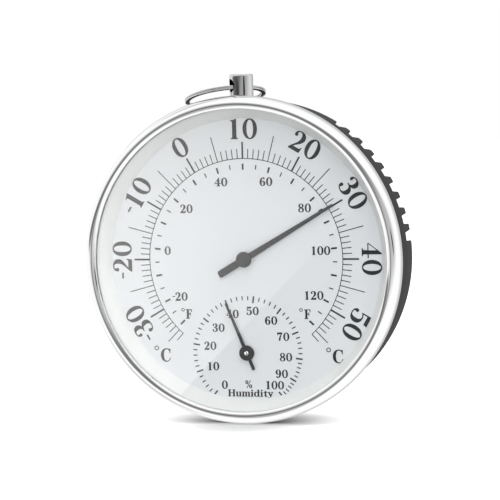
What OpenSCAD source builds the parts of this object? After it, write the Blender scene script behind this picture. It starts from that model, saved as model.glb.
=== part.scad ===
// Round dial thermo-hygrometer: a plastic drum case with a chrome bezel, one dial that carries a
// temperature scale and a small humidity scale, two coil-driven pointers and a stud with a split ring.
// Millimetres. The rear rim lies on the XZ plane, the dial faces -Y, and +Z is up.
// Each piece is drawn in the dial's own frame: x right, y up, and z forward from the rear rim.

/* [Case] */
// Radial step from the bezel's largest radius in to the case's front shoulder
shoulder_step = 0.7; // [0.4:0.05:0.8]
// Taper of the case's radius from its front shoulder to its rear rim
case_taper = 1.1; // [0.5:0.05:2.5]
// Thickness of the case's round wall
case_wall = 1.9; // [1.4:0.1:2.6]
// Depth of the open skirt behind the back wall
skirt_depth = 5; // [3:0.1:6]
// Thickness of the back wall
back_wall = 1.8; // [1.2:0.1:2.4]
// Gap between the back wall and the bridges in front of it
back_gap = 1; // [0.8:0.1:5]
// Height of the spigot that the bezel pushes on to
spigot_h = 1; // [0.6:0.1:1.5]
// Number of notches in one group of the rear rim
notch_count = 9; // [3:1:11]
// Angle between neighbouring notches
notch_pitch = 6.17; // [5:0.01:8]
// Width of one notch at its mouth
notch_w = 3.3; // [1.5:0.1:3.6]
// Depth of one notch, past the back wall, so that the notches let air in at the side
notch_depth = 8.2; // [6:0.1:9]
// Clock angle of the middle of a notch group
notch_centre = 58.3; // [45:0.1:70]
// Radius of the rings on which the vent slots lie
vent_rings = [20, 27, 34]; // [10:1:40]
// Width of a vent slot
vent_w = 2.2; // [1:0.1:3]

/* [Bezel and glass] */
// Height of the bezel's widest line above the case's shoulder
crest_rise = 0.7; // [0.4:0.1:1]
// Radius of the small arc at the front of the bezel's section
nose_r = 2; // [1.7:0.1:2.2]
// Radial distance from the widest line to the centre of the small arc
nose_in = 2.7; // [2.4:0.1:3]
// Radial distance from the centre of the small arc to the bezel's inner edge
nose_lap = 1.25; // [0.9:0.05:1.5]
// Thickness of the bezel's sheet
bezel_t = 0.8; // [0.5:0.05:1]
// Thickness of the glass
lens_t = 1.6; // [1.2:0.1:1.8]
// Thickness of the gasket in front of the glass
gasket_t = 0.4; // [0.3:0.05:0.5]

/* [Dial] */
// Depth of the dial's face below the bezel's widest line
dial_drop = 4.2; // [3:0.1:5]
// Thickness of the dial plate
dial_t = 0.5; // [0.3:0.1:0.8]
// Radius of the dial that shows inside the surround
dial_show_r = 43.9; // [40:0.1:50]
// Radial width of the surround's slope, from the dial that shows to the bezel's inner edge
slope_w = 3.15; // [2.5:0.05:4]
// Width of the dial's edge that the surround holds down
dial_edge = 2.3; // [1.5:0.1:2.5]
// Distance from the temperature pivot down to the humidity pivot
pivot_gap = 29.3; // [28:0.1:31]

/* [Movements] */
// Radius of each pointer arbor
arbor_r = 0.75; // [0.6:0.05:0.9]
// Running clearance of an arbor in its bushes
arbor_gap = 0.05; // [0.03:0.01:0.1]
// Thickness of the plate that carries both movements
plate_t = 1; // [0.8:0.1:1.4]
// Distance from the dial's face to the front of that plate
plate_drop = 2.4; // [2.1:0.1:3]
// Distance of the plate's top and bottom edges from the nearer pivot
plate_reach = 14.5; // [13:0.5:15]
// Thickness of a rear bridge
bridge_t = 0.8; // [0.6:0.1:1]
// Width of a rear bridge
bridge_w = 5; // [4:0.5:6]
// Inner half span of a rear bridge between its legs
bridge_span = 9.8; // [9.6:0.1:10.2]
// Clear height under a rear bridge
bridge_clear = 5.6; // [5.2:0.1:5.8]
// Radius of the collet on each arbor
collet_r = 2; // [1.6:0.1:2.3]
// Turns of the temperature coil
temperature_turns = 6.5; // [3.5:1:6.5]
// Thickness of the temperature coil's strip
temperature_strip = 0.35; // [0.2:0.05:0.5]
// Width of the temperature coil's strip
temperature_strip_w = 3; // [2:0.1:3]
// Turns of the humidity coil
humidity_turns = 4.5; // [2.5:1:4.5]
// Thickness of the humidity coil's strip
humidity_strip = 0.25; // [0.2:0.05:0.5]
// Width of the humidity coil's strip
humidity_strip_w = 2.6; // [2:0.1:3]
// Outer radius of both coils
coil_r = 7.8; // [7:0.1:8]

/* [Pointers] */
// Reading of the temperature pointer as a clock angle
temperature_angle = 59.8; // [-138:0.1:138]
// Length of the temperature pointer from its pivot
temperature_len = 33.4; // [28:0.1:36]
// Length of the temperature pointer's tail
temperature_tail = 9.7; // [6:0.1:12]
// Radius of the cap on the temperature pointer
temperature_cap_r = 2.45; // [2:0.05:3]
// Reading of the humidity pointer as a clock angle
humidity_angle = -22.7; // [-139.9:0.1:140.9]
// Length of the humidity pointer from its pivot
humidity_len = 16.9; // [14:0.1:17]
// Length of the humidity pointer's tail
humidity_tail = 5.7; // [4:0.1:8]
// Radius of the humidity pointer's hub
humidity_hub_r = 2.4; // [1.8:0.05:3]
// Thickness of both pointers
pointer_t = 0.3; // [0.2:0.05:0.5]
// Gap between the dial and the lower pointer
pointer_gap = 0.7; // [0.4:0.05:0.9]

/* [Hanger] */
// Radius of the hanger stud
stud_r = 3.7; // [3.2:0.1:4.2]
// Height of the stud's top above the bezel's largest radius
stud_rise = 6.5; // [5.5:0.1:8]
// Distance from the bezel's widest line back to the stud's axis
stud_back = 4.5; // [4.2:0.1:6]
// Radius of the cross hole in the stud
hole_r = 1.95; // [1.7:0.05:2.1]
// Height of the cross hole above the bezel's largest radius
hole_rise = 2.95; // [2.8:0.05:3.4]
// Turn of the cross hole about the stud's axis
hole_turn = 40; // [20:1:50]
// Outer radius of the split ring
ring_r = 12.8; // [11.5:0.1:15]
// Width of the ring's wire across the ring
ring_wire_w = 1.4; // [1.2:0.1:1.5]
// Thickness of one of the ring's two coils
ring_wire_t = 0.55; // [0.45:0.05:0.6]
// Slot between the ring's two coils
ring_slot = 0.08; // [0.05:0.01:0.12]
// Angle by which the resting ring falls below level
ring_fall = 14; // [5:0.1:14]
// Drop of the ring's wire below the cross hole's centre
ring_sag = 0.55; // [0.3:0.05:0.7]
// Sideways slip of the resting ring along its wire
ring_slip = 0.8; // [0:0.1:0.9]

/* [Hidden] */
$fn = 96;
// Overlap that fuses solids, and overrun of cuts
eps = 0.01;
over = 1;
// Clearances of pressed, fitted and loosely seated pieces
touch = 0.02;
fit_gap = 0.05;
seat_gap = 0.1;

// Heights above the rear rim
inner_h = skirt_depth + back_wall;
bridge_h = inner_h + back_gap;
bridge_top_h = bridge_h + bridge_t;
plate_h = bridge_top_h + bridge_clear;
boss_h = plate_h;
face_h = plate_h + plate_t + plate_drop;
dial_back_h = face_h - dial_t;
crest_h = face_h + dial_drop;
shoulder_h = crest_h - crest_rise;
front_h = shoulder_h + spigot_h;
flange_t = 0.9;
lens_h = front_h + flange_t;
gasket_h = lens_h + lens_t;
stud_h = crest_h - stud_back;

// Radii of the bezel and the case
bezel_eye_r = dial_show_r + slope_w;
nose_mid_r = bezel_eye_r + nose_lap;
bezel_r = nose_mid_r + nose_in;
shoulder_r = bezel_r - shoulder_step;
rim_r = shoulder_r - case_taper;
groove = 0.2;
spigot_r = bezel_r - bezel_t - seat_gap;
case_bore_front = shoulder_r - case_wall;
surround_r = dial_show_r + dial_edge + 2 * seat_gap;
skirt_relief = 0.25;
skirt_wall = case_wall - skirt_relief;

// Section of the bezel: a small arc at the nose, over the gasket, runs into a large arc at the side
nose_c = [nose_mid_r, gasket_h + gasket_t + 2 * seat_gap - nose_r + bezel_t];
nose_rise = nose_c[1] - crest_h;
side_r = (nose_in * nose_in + nose_rise * nose_rise - nose_r * nose_r) / (2 * (nose_in - nose_r));
side_c = [bezel_r - side_r, crest_h];
join_angle = atan2(nose_c[1] - side_c[1], nose_c[0] - side_c[0]);
bezel_end_h = shoulder_h + groove;
arc_steps = 14;

// Bezel lip, glass and gasket
lip_t = 0.35;
lens_r = nose_mid_r + 0.6;
gasket_r = nose_mid_r + 0.5;
gasket_eye_r = nose_mid_r - 0.4;

// Fasteners
plate_screw_r = 1.05;
plate_head_r = 1.9;
plate_head_t = 1.1;
plate_screw_grip = 4;
boss_r = 2.6;
bridge_screw_r = 0.8;
bridge_head_r = 1.3;
bridge_head_t = 0.8;
bridge_screw_x = bridge_span + bridge_t + bridge_head_r + seat_gap;
foot_margin = 0.2;
foot_w = bridge_screw_x + bridge_head_r + foot_margin - bridge_span;
plate_w = 2 * (bridge_span + foot_w);
plate_screw_in = 3;
plate_screw_x = plate_w / 2 - plate_screw_in;
screw_gap = 0.15;

// Movements
bush_r = 2.2;
bush_flange_r = 3;
bush_flange_t = 0.4;
bush_len_in = 0.8;
rear_bush_r = 1.6;
rear_flange = 0.6;
play = 0.3;
rear_bush_top_h = bridge_top_h + rear_flange;
rear_bush_h = bridge_h - bush_flange_t;
arbor_end_h = rear_bush_h - play;
collet_h = rear_bush_top_h + play;
collet_top_h = plate_h - bush_len_in - play;
coil_mid_h = (collet_h + collet_top_h) / 2;
post_r = 0.7;

// Pointers
humidity_h = face_h + pointer_gap;
temperature_h = humidity_h + 0.2;
cap_t = 0.8;
cap_h = temperature_h + pointer_t;
cap_bore_depth = 0.5;
humidity_hub_t = 0.6;
pin_rise = 0.3;

// Hanger
stud_sink = 1;
stud_seat_y = shoulder_r - stud_sink;
stud_top_y = bezel_r + stud_rise;
hole_y = bezel_r + hole_rise;
shank_r = 1.6;
washer_t = 0.35;
rivet_r = 2.6;
rivet_t = 0.7;
washer_r = rivet_r + 0.4;
wall_in_y = case_bore_front - seat_gap;
ring_mid_r = ring_r - ring_wire_w / 2;
// The curved wire bows by this much to each side of the cross hole's middle
ring_bow = pow(stud_r + ring_slip, 2) / (4 * ring_mid_r);
// Angle over which the wire climbs, where the climb lies, and the angle between the wire's sections
step_angle = 24;
step_turn = 110;
ring_step = 5;

// Places and turns

// Turns a piece drawn in the dial's frame so that the dial faces -Y
module upright() {
    rotate([90, 0, 0])
        children();
}

// Turns what stands at twelve o'clock to a clock angle
module at_clock(angle) {
    rotate([0, 0, -angle])
        children();
}

module at_humidity_pivot() {
    translate([0, -pivot_gap, 0])
        children();
}

// A round rod from height a to height b
module rod(r, a, b) {
    translate([0, 0, a])
        cylinder(r = r, h = b - a);
}

// A flat ring from height a to height b
module washer(r_out, r_in, a, b) {
    difference() {
        rod(r_out, a, b);
        rod(r_in, a - over, b + over);
    }
}

function arc(c, r, from, to, steps) =
    [for (i = [0 : steps]) let (t = from + (to - from) * i / steps) c + r * [cos(t), sin(t)]];

function case_r(h) = rim_r + (shoulder_r - rim_r) * h / shoulder_h;

// The four corners of the movement plate that take screws
function plate_corners() =
    [for (x = [-plate_screw_x, plate_screw_x])
        for (y = [plate_reach - plate_screw_in, plate_screw_in - plate_reach - pivot_gap])
            [x, y]];

// Case

module case_wall_section() {
    polygon([
        [0, skirt_depth],
        [case_r(skirt_depth) - skirt_wall, skirt_depth],
        [rim_r - skirt_wall, 0],
        [rim_r, 0],
        [shoulder_r, shoulder_h],
        [spigot_r, shoulder_h],
        [spigot_r, front_h],
        [case_bore_front, front_h],
        [case_r(inner_h) - case_wall, inner_h],
        [0, inner_h]
    ]);
}

// One notch of the rear rim, a little wider at its mouth, at twelve o'clock
module rim_notch() {
    draft = 0.45;
    translate([0, rim_r + over, 0])
        rotate([90, 0, 0])
            linear_extrude(skirt_wall + 3 * over)
                polygon([
                    [-notch_w / 2, -over],
                    [notch_w / 2, -over],
                    [notch_w / 2 - draft, notch_depth],
                    [draft - notch_w / 2, notch_depth]
                ]);
}

module rim_notches() {
    span = (notch_count - 1) * notch_pitch;
    for (side = [-1, 1])
        for (i = [0 : notch_count - 1])
            at_clock(side * (notch_centre - span / 2 + i * notch_pitch))
                rim_notch();
}

// Curved vent slots through the back wall, three to a ring
module vents() {
    slot_angle = 56;
    for (r = vent_rings)
        for (turn = [0, 120, 240])
            at_clock(turn + slot_angle / 2)
                translate([0, 0, skirt_depth - over])
                    rotate_extrude(angle = slot_angle, start = 90)
                        translate([r, 0])
                            square([vent_w, back_wall + 2 * over]);
}

module case_shell() {
    rib_w = 2;
    rib_r = dial_show_r + 0.6;
    rib_len = case_bore_front - rib_r;
    hole_extra = 0.5;
    color("#46474a") upright() difference() {
        union() {
            rotate_extrude($fn = 180)
                case_wall_section();
            // Ribs that the dial plate rests on
            for (turn = [30 : 60 : 330])
                at_clock(turn)
                    translate([-rib_w / 2, rib_r, inner_h - eps])
                        cube([rib_w, rib_len, dial_back_h - inner_h + eps]);
            // Bosses for the movement plate
            for (p = plate_corners())
                translate(p)
                    rod(boss_r, inner_h - eps, boss_h);
        }
        rim_notches();
        vents();
        for (p = plate_corners())
            translate(p)
                rod(plate_screw_r + fit_gap, boss_h - plate_screw_grip - hole_extra, boss_h + over);
        // Seat and hole of the hanger stud
        translate([0, 0, stud_h])
            rotate([-90, 0, 0]) {
                rod(stud_r + seat_gap, stud_seat_y, shoulder_r + over);
                rod(shank_r + fit_gap, dial_show_r, shoulder_r + over);
                rod(washer_r + 2 * seat_gap, dial_show_r, wall_in_y);
            }
    }
}

// Bezel and glass

module bezel_ring() {
    skin = nose_r - bezel_t;
    side_skin = side_r - bezel_t;
    lip_angle = 180 - acos((nose_c[0] - bezel_eye_r) / nose_r);
    lip_in_angle = 180 - acos(min(1, (nose_c[0] - bezel_eye_r - lip_t) / skin));
    lip_h = gasket_h + seat_gap;
    outer = concat(
        [[bezel_r, bezel_end_h]],
        arc(side_c, side_r, 0, join_angle, arc_steps),
        arc(nose_c, nose_r, join_angle, lip_angle, 2 * arc_steps)
    );
    inner = concat(
        arc(nose_c, skin, lip_in_angle, join_angle, arc_steps),
        arc(side_c, side_skin, join_angle, 0, arc_steps),
        [[bezel_r - bezel_t, bezel_end_h]]
    );
    lip = [[bezel_eye_r, lip_h], [bezel_eye_r + lip_t, lip_h]];
    color("#d9dcdf") upright()
        rotate_extrude($fn = 180)
            polygon(concat(outer, lip, inner));
}

module lens() {
    color([0.85, 0.9, 0.92, 0.35]) upright()
        rod(lens_r, lens_h, gasket_h);
}

module lens_gasket() {
    color("#222222") upright()
        washer(gasket_r, gasket_eye_r, gasket_h, gasket_h + gasket_t);
}

// Dial

module dial_surround() {
    flange_r = spigot_r - 5 * seat_gap;
    land = 0.15;
    color("#ecebe6") upright()
        rotate_extrude($fn = 180)
            polygon([
                [dial_show_r, face_h],
                [surround_r, face_h],
                [surround_r, front_h],
                [flange_r, front_h],
                [flange_r, lens_h],
                [bezel_eye_r - seat_gap, lens_h],
                [dial_show_r, face_h + land]
            ]);
}

module dial_plate() {
    arbor_hole_r = arbor_r + 0.6;
    color("#dfe4e8") upright() difference() {
        rod(dial_show_r + dial_edge, dial_back_h, face_h);
        rod(arbor_hole_r, dial_back_h - over, face_h + over);
        at_humidity_pivot()
            rod(arbor_hole_r, dial_back_h - over, face_h + over);
    }
}

// Movements

module movement_plate() {
    color("#b9bcc0") upright() difference() {
        translate([-plate_w / 2, -pivot_gap - plate_reach, plate_h])
            cube([plate_w, pivot_gap + 2 * plate_reach, plate_t]);
        rod(bush_r, plate_h - over, plate_h + plate_t + over);
        at_humidity_pivot()
            rod(bush_r, plate_h - over, plate_h + plate_t + over);
        for (p = plate_corners())
            translate(p)
                rod(plate_screw_r + screw_gap, plate_h - over, plate_h + plate_t + over);
        for (x = [-bridge_screw_x, bridge_screw_x])
            for (y = [0, -pivot_gap])
                translate([x, y, 0])
                    rod(bridge_screw_r + fit_gap, plate_h - over, plate_h + plate_t + over);
    }
}

// A slotted pan head screw along +z: the head lies above height a, the shank runs down to b
module screw(shank, head, head_t, a, b) {
    slot = 0.4;
    difference() {
        union() {
            rod(shank, b, a + eps);
            rod(head, a, a + head_t);
        }
        translate([-head - over, -slot / 2, a + head_t - slot])
            cube([2 * (head + over), slot, over]);
    }
}

module movement_plate_screws() {
    top = plate_h + plate_t;
    color("#c9ccd0") upright()
        for (p = plate_corners())
            translate(p)
                screw(plate_screw_r, plate_head_r, plate_head_t, top, boss_h - plate_screw_grip);
}

// A bridge with two legs and two feet behind a pivot
module bridge() {
    difference() {
        union() {
            translate([-bridge_span - bridge_t, -bridge_w / 2, bridge_h])
                cube([2 * (bridge_span + bridge_t), bridge_w, bridge_t]);
            for (side = [-1, 1])
                translate([side * (bridge_span + bridge_t / 2) - bridge_t / 2, -bridge_w / 2, bridge_h])
                    cube([bridge_t, bridge_w, plate_h - bridge_h]);
            for (side = [-1, 1])
                translate([side * (bridge_span + foot_w / 2) - foot_w / 2, -bridge_w / 2, plate_h - bridge_t])
                    cube([foot_w, bridge_w, bridge_t]);
        }
        rod(rear_bush_r, bridge_h - over, bridge_top_h + over);
        for (x = [-bridge_screw_x, bridge_screw_x])
            translate([x, 0, 0])
                rod(bridge_screw_r + fit_gap, plate_h - bridge_t - over, plate_h + over);
    }
}

module bridge_screws() {
    seat = plate_h - bridge_t;
    for (x = [-bridge_screw_x, bridge_screw_x])
        translate([x, 0, 0])
            mirror([0, 0, 1])
                screw(bridge_screw_r, bridge_head_r, bridge_head_t, -seat, -plate_h - plate_t);
}

module front_bush() {
    difference() {
        union() {
            rod(bush_r - touch, plate_h - bush_len_in, plate_h + plate_t + eps);
            rod(bush_flange_r, plate_h + plate_t, plate_h + plate_t + bush_flange_t);
        }
        rod(arbor_r + arbor_gap, plate_h - bush_len_in - over, plate_h + plate_t + bush_flange_t + over);
    }
}

module rear_bush() {
    difference() {
        union() {
            rod(rear_bush_r - touch, rear_bush_h, bridge_top_h + eps);
            rod(rear_bush_r + rear_flange, bridge_top_h, rear_bush_top_h);
        }
        rod(arbor_r + arbor_gap, rear_bush_h - over, rear_bush_top_h + over);
    }
}

// A flat spiral strip: its inner end lies on the collet, its outer end at twelve o'clock
module coil(turns, strip, width) {
    steps = 20 * turns;
    start_r = collet_r + fit_gap + strip / 2;
    grow = (coil_r - start_r) / turns;
    start = 90 - 360 * turns;
    rise = [for (i = [0 : steps]) 360 * turns * i / steps];
    side_out = [for (a = rise) (start_r + strip / 2 + grow * a / 360) * [cos(start + a), sin(start + a)]];
    side_in = [for (i = [steps : -1 : 0])
        (start_r - strip / 2 + grow * rise[i] / 360) * [cos(start + rise[i]), sin(start + rise[i])]];
    echo("Least gap between turns", grow - strip);
    translate([0, 0, coil_mid_h - width / 2])
        linear_extrude(width)
            polygon(concat(side_out, side_in));
}

// The fixed post that holds a coil's outer end
module coil_post(strip) {
    translate([0, coil_r + strip / 2 + fit_gap + post_r, 0])
        rod(post_r, collet_h + play, plate_h);
}

module collet() {
    washer(collet_r, arbor_r + touch / 2, collet_h, collet_top_h);
}

module thermometer_bridge() {
    color("#c8a552") upright()
        bridge();
}

module thermometer_bridge_screws() {
    color("#c9ccd0") upright()
        bridge_screws();
}

module thermometer_front_bush() {
    color("#c9a227") upright()
        front_bush();
}

module thermometer_rear_bush() {
    color("#c9a227") upright()
        rear_bush();
}

module thermometer_coil_post() {
    color("#a9acb0") upright()
        coil_post(temperature_strip);
}

module thermometer_coil() {
    color("#b98f5a") upright()
        coil(temperature_turns, temperature_strip, temperature_strip_w);
}

module temperature_arbor() {
    color("#a9acb0") upright()
        rod(arbor_r, arbor_end_h, cap_h + cap_bore_depth - seat_gap);
}

module temperature_collet() {
    color("#c9a227") upright()
        collet();
}

module temperature_pointer() {
    root_w = 1.75;
    tip_w = 0.8;
    tail_w = 1.9;
    bore_wall = 0.75;
    outline = concat(
        [[root_w / 2, 0]],
        arc([0, temperature_len - tip_w / 2], tip_w / 2, 0, 180, 10),
        [[-root_w / 2, 0], [-tail_w / 2, 0]],
        arc([0, tail_w / 2 - temperature_tail], tail_w / 2, 180, 360, 12),
        [[tail_w / 2, 0]]
    );
    color("#4c4e51") upright()
        translate([0, 0, temperature_h])
            at_clock(temperature_angle)
                difference() {
                    union() {
                        linear_extrude(pointer_t)
                            polygon(outline);
                        rod(arbor_r + bore_wall, 0, pointer_t);
                    }
                    rod(arbor_r + touch / 2, -over, pointer_t + over);
                }
}

module temperature_pointer_cap() {
    color("#505255") upright() difference() {
        rod(temperature_cap_r, cap_h, cap_h + cap_t);
        rod(arbor_r + touch / 2, cap_h - over, cap_h + cap_bore_depth);
    }
}

module hygrometer_bridge() {
    color("#c8a552") upright()
        at_humidity_pivot()
            bridge();
}

module hygrometer_bridge_screws() {
    color("#c9ccd0") upright()
        at_humidity_pivot()
            bridge_screws();
}

module hygrometer_front_bush() {
    color("#c9a227") upright()
        at_humidity_pivot()
            front_bush();
}

module hygrometer_rear_bush() {
    color("#c9a227") upright()
        at_humidity_pivot()
            rear_bush();
}

module hygrometer_coil_post() {
    color("#a9acb0") upright()
        at_humidity_pivot()
            coil_post(humidity_strip);
}

module hygrometer_coil() {
    color("#9aa07a") upright()
        at_humidity_pivot()
            coil(humidity_turns, humidity_strip, humidity_strip_w);
}

module humidity_arbor() {
    color("#d8cda4") upright()
        at_humidity_pivot()
            rod(arbor_r, arbor_end_h, humidity_h + humidity_hub_t + pin_rise);
}

module humidity_collet() {
    color("#c9a227") upright()
        at_humidity_pivot()
            collet();
}

module humidity_pointer() {
    root_w = 1.4;
    tip_w = 0.8;
    tail_w = 0.95;
    color("#26262a") upright()
        at_humidity_pivot()
            translate([0, 0, humidity_h])
                at_clock(humidity_angle)
                    difference() {
                        union() {
                            linear_extrude(pointer_t)
                                polygon([
                                    [-root_w / 2, 0],
                                    [-tip_w / 2, humidity_len],
                                    [tip_w / 2, humidity_len],
                                    [root_w / 2, 0],
                                    [tail_w / 2, 0],
                                    [tail_w / 2, -humidity_tail],
                                    [-tail_w / 2, -humidity_tail],
                                    [-tail_w / 2, 0]
                                ]);
                            rod(humidity_hub_r, 0, humidity_hub_t);
                        }
                        rod(arbor_r + touch / 2, -over, humidity_hub_t + over);
                    }
}

// Hanger

// Places a piece drawn along +z on the stud's axis, which points up
module on_stud() {
    upright()
        translate([0, 0, stud_h])
            rotate([-90, 0, 0])
                children();
}

// Places a piece drawn about its own z axis at the cross hole, with x along the hole.
// Its y axis points away behind the case, and the angle lowers that side below level.
module at_hole(fall) {
    translate([0, -stud_h, hole_y])
        rotate([0, 0, hole_turn])
            rotate([-fall, 0, 0])
                children();
}

module hanger_stud() {
    edge = 0.6;
    color("#cfd2d6") difference() {
        on_stud() {
            rod(stud_r, stud_seat_y, stud_top_y - edge);
            translate([0, 0, stud_top_y - edge])
                rotate_extrude()
                    intersection() {
                        square([stud_r, edge]);
                        union() {
                            translate([stud_r - edge, 0])
                                circle(r = edge, $fn = 48);
                            square([stud_r - edge, edge]);
                        }
                    }
            rod(shank_r, wall_in_y - washer_t - rivet_t, stud_seat_y + eps);
            rod(rivet_r, wall_in_y - washer_t - rivet_t, wall_in_y - washer_t);
        }
        at_hole(0)
            rotate([0, 90, 0])
                rod(hole_r, -stud_r - over, stud_r + over);
    }
}

module hanger_washer() {
    color("#b4b7bb")
        on_stud()
            washer(washer_r, shank_r + fit_gap, wall_in_y - washer_t, wall_in_y);
}

// Height of the wire's middle at an angle along its two turns: it climbs once, beside its free ends
function wire_h(a) =
    let (t = min(1, max(0, (a - 360) / step_angle + 0.5)))
        (ring_wire_t + ring_slot) * (t * t * (3 - 2 * t) - 0.5);

// The wire of the split ring: eight-sided, unbroken, wound twice about the z axis
module split_ring() {
    w = ring_wire_w / 2;
    t = ring_wire_t / 2;
    cut = 0.14;
    corners = [
        [w, cut - t], [w, t - cut], [w - cut, t], [cut - w, t],
        [-w, t - cut], [-w, cut - t], [cut - w, -t], [w - cut, -t]
    ];
    n = len(corners);
    first = step_angle / 2;
    last = 720 - step_angle / 2;
    rings = round((last - first) / ring_step);
    points = [
        for (i = [0 : rings])
            let (a = first + (last - first) * i / rings)
                for (c = corners)
                    [(ring_mid_r + c[0]) * cos(a), (ring_mid_r + c[0]) * sin(a), wire_h(a) + c[1]]
    ];
    sides = [
        for (i = [0 : rings - 1])
            for (j = [0 : n - 1])
                let (p = i * n + j, q = i * n + (j + 1) % n)
                    each [[p, q, q + n], [p, q + n, p + n]]
    ];
    start_cap = [for (j = [1 : n - 2]) [0, j + 1, j]];
    end_cap = [for (j = [1 : n - 2]) [rings * n, rings * n + j, rings * n + j + 1]];
    polyhedron(points, concat(sides, start_cap, end_cap));
}

module hanging_ring() {
    color("#c4c7cb")
        at_hole(ring_fall)
            translate([-ring_slip, ring_mid_r - ring_bow, -ring_sag])
                rotate([0, 0, step_turn])
                    split_ring();
}

case_shell();
bezel_ring();
lens();
lens_gasket();
dial_surround();
dial_plate();
movement_plate();
movement_plate_screws();
thermometer_bridge();
thermometer_bridge_screws();
thermometer_front_bush();
thermometer_rear_bush();
thermometer_coil_post();
thermometer_coil();
temperature_arbor();
temperature_collet();
temperature_pointer();
temperature_pointer_cap();
hygrometer_bridge();
hygrometer_bridge_screws();
hygrometer_front_bush();
hygrometer_rear_bush();
hygrometer_coil_post();
hygrometer_coil();
humidity_arbor();
humidity_collet();
humidity_pointer();
hanger_stud();
hanger_washer();
hanging_ring();
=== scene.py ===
import math
import re
from functools import partial

import bmesh
import bpy
from mathutils import Matrix, Vector


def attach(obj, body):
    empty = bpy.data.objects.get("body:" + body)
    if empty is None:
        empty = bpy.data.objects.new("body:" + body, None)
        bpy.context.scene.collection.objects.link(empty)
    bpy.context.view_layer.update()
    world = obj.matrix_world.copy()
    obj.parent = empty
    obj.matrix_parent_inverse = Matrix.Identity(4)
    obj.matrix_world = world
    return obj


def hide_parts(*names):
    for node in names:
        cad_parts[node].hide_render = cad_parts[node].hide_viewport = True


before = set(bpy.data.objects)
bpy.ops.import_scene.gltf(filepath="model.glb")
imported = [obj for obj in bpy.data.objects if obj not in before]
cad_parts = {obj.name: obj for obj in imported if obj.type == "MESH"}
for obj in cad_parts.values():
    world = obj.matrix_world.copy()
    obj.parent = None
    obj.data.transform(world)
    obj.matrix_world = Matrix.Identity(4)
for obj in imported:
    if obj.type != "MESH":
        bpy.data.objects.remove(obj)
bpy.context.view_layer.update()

mm = 0.001
scene = bpy.context.scene
scene.view_settings.view_transform = "Standard"

# Heights in mm above the rear rim, and radii, that several pieces share
heights = {"ceiling": 5.0, "innerFloor": 6.8, "shoulder": 21.1, "front": 22.1,
           "dialFace": 17.6, "lensBack": 23.0, "lensFront": 24.6, "stud": 17.3}
radii = {"bezel": 51.0, "eye": 47.05, "shoulder": 50.3, "rim": 49.2, "spigot": 50.1,
         "bore": 48.4, "dial": 43.9, "scaleArc": 31.35}
pivotDrop = 29.3  # from the temperature pivot down to the humidity pivot
readings = {"temperature": 59.8, "humidity": -22.7}  # clock angles of the two pointers

dialTurn = Matrix.Rotation(math.radians(90), 4, "X")  # dial x, y, forward -> x, -forward, y


# Mesh tools

def onDial(x, y, h):
    # dial millimetres (right, up, forward of the rear rim) as metres in the object's frame
    return Vector((x * mm, -h * mm, y * mm))


def arcPoints(cx, cy, r, start, end, steps):
    turn = [math.radians(start + (end - start) * i / steps) for i in range(steps + 1)]
    return [(cx + r * math.cos(t), cy + r * math.sin(t)) for t in turn]


def circlePoints(y, r, count):
    return arcPoints(0, y, r, 0, 360 - 360 / count, count - 1)


def roundCorners(outline, r, steps, most=0.45):
    # each corner of a closed outline gets a small round, at most this share of its sides
    result = []
    count = len(outline)
    for i, corner in enumerate(outline):
        here = Vector(corner)
        back = Vector(outline[i - 1]) - here
        ahead = Vector(outline[(i + 1) % count]) - here
        reach = min(r, back.length * most, ahead.length * most)
        a, b = here + back.normalized() * reach, here + ahead.normalized() * reach
        for k in range(steps + 1):
            t = k / steps
            result.append(tuple(a * (1 - t) ** 2 + here * 2 * t * (1 - t) + b * t * t))
    return result


def shadeByAngle(mesh, degrees):
    mesh.shade_smooth()
    mesh.set_sharp_from_angle(angle=math.radians(degrees))


def linkPiece(name, mesh, material=None):
    piece = bpy.data.objects.new(name, mesh)
    scene.collection.objects.link(piece)
    if material:
        mesh.materials.clear()
        mesh.materials.append(material)
    return piece


def meshFrom(name, bm):
    mesh = bpy.data.meshes.new(name)
    bm.to_mesh(mesh)
    bm.free()
    return mesh


def closeUp(bm, gap=1e-8):
    bmesh.ops.remove_doubles(bm, verts=bm.verts, dist=gap)
    bmesh.ops.recalc_face_normals(bm, faces=bm.faces)


def closeMesh(mesh, gap=1e-8):
    bm = bmesh.new()
    bm.from_mesh(mesh)
    closeUp(bm, gap)
    bm.to_mesh(mesh)
    bm.free()


def turnedMesh(name, outline, place, turns):
    # a closed outline of (radius, height) in mm, turned about the local z axis, then put in place
    if isinstance(turns, int):
        turns = [360 * i / turns for i in range(turns)]
    bm = bmesh.new()
    rings = []
    for turn in turns:
        c, s = math.cos(math.radians(turn)), math.sin(math.radians(turn))
        rings.append([bm.verts.new((place @ Vector((r * s, r * c, z))) * mm) for r, z in outline])
    for ring, following in zip(rings, rings[1:] + rings[:1]):
        for j in range(len(outline)):
            k = (j + 1) % len(outline)
            if outline[j][0] > 0 or outline[k][0] > 0:
                bm.faces.new((ring[j], ring[k], following[k], following[j]))
    closeUp(bm)
    return meshFrom(name, bm)


def turnedPiece(name, outline, place, turns, finish, degrees):
    piece = linkPiece(name, turnedMesh(name, outline, place, turns), finishes[finish])
    shadeByAngle(piece.data, degrees)
    return piece


def startCurve(name, depth):
    curve = bpy.data.curves.new(name, "CURVE")
    curve.dimensions = "2D"
    curve.fill_mode = "BOTH"
    curve.extrude = depth / 2
    return curve


def outlinePiece(name, loops, thickness, place, material, edge=0.0):
    # flat closed loops in mm, filled with their holes, thickened about z = 0, then put in place
    curve = startCurve(name, thickness - 2 * edge)
    curve.bevel_depth = edge
    curve.bevel_resolution = 1
    curve.offset = -edge
    for loop in loops:
        spline = curve.splines.new("POLY")
        spline.points.add(len(loop) - 1)
        for point, (x, y) in zip(spline.points, loop):
            point.co = (x, y, 0, 1)
        spline.use_cyclic_u = True
    return curvePiece(name, curve, place, material)


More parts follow.
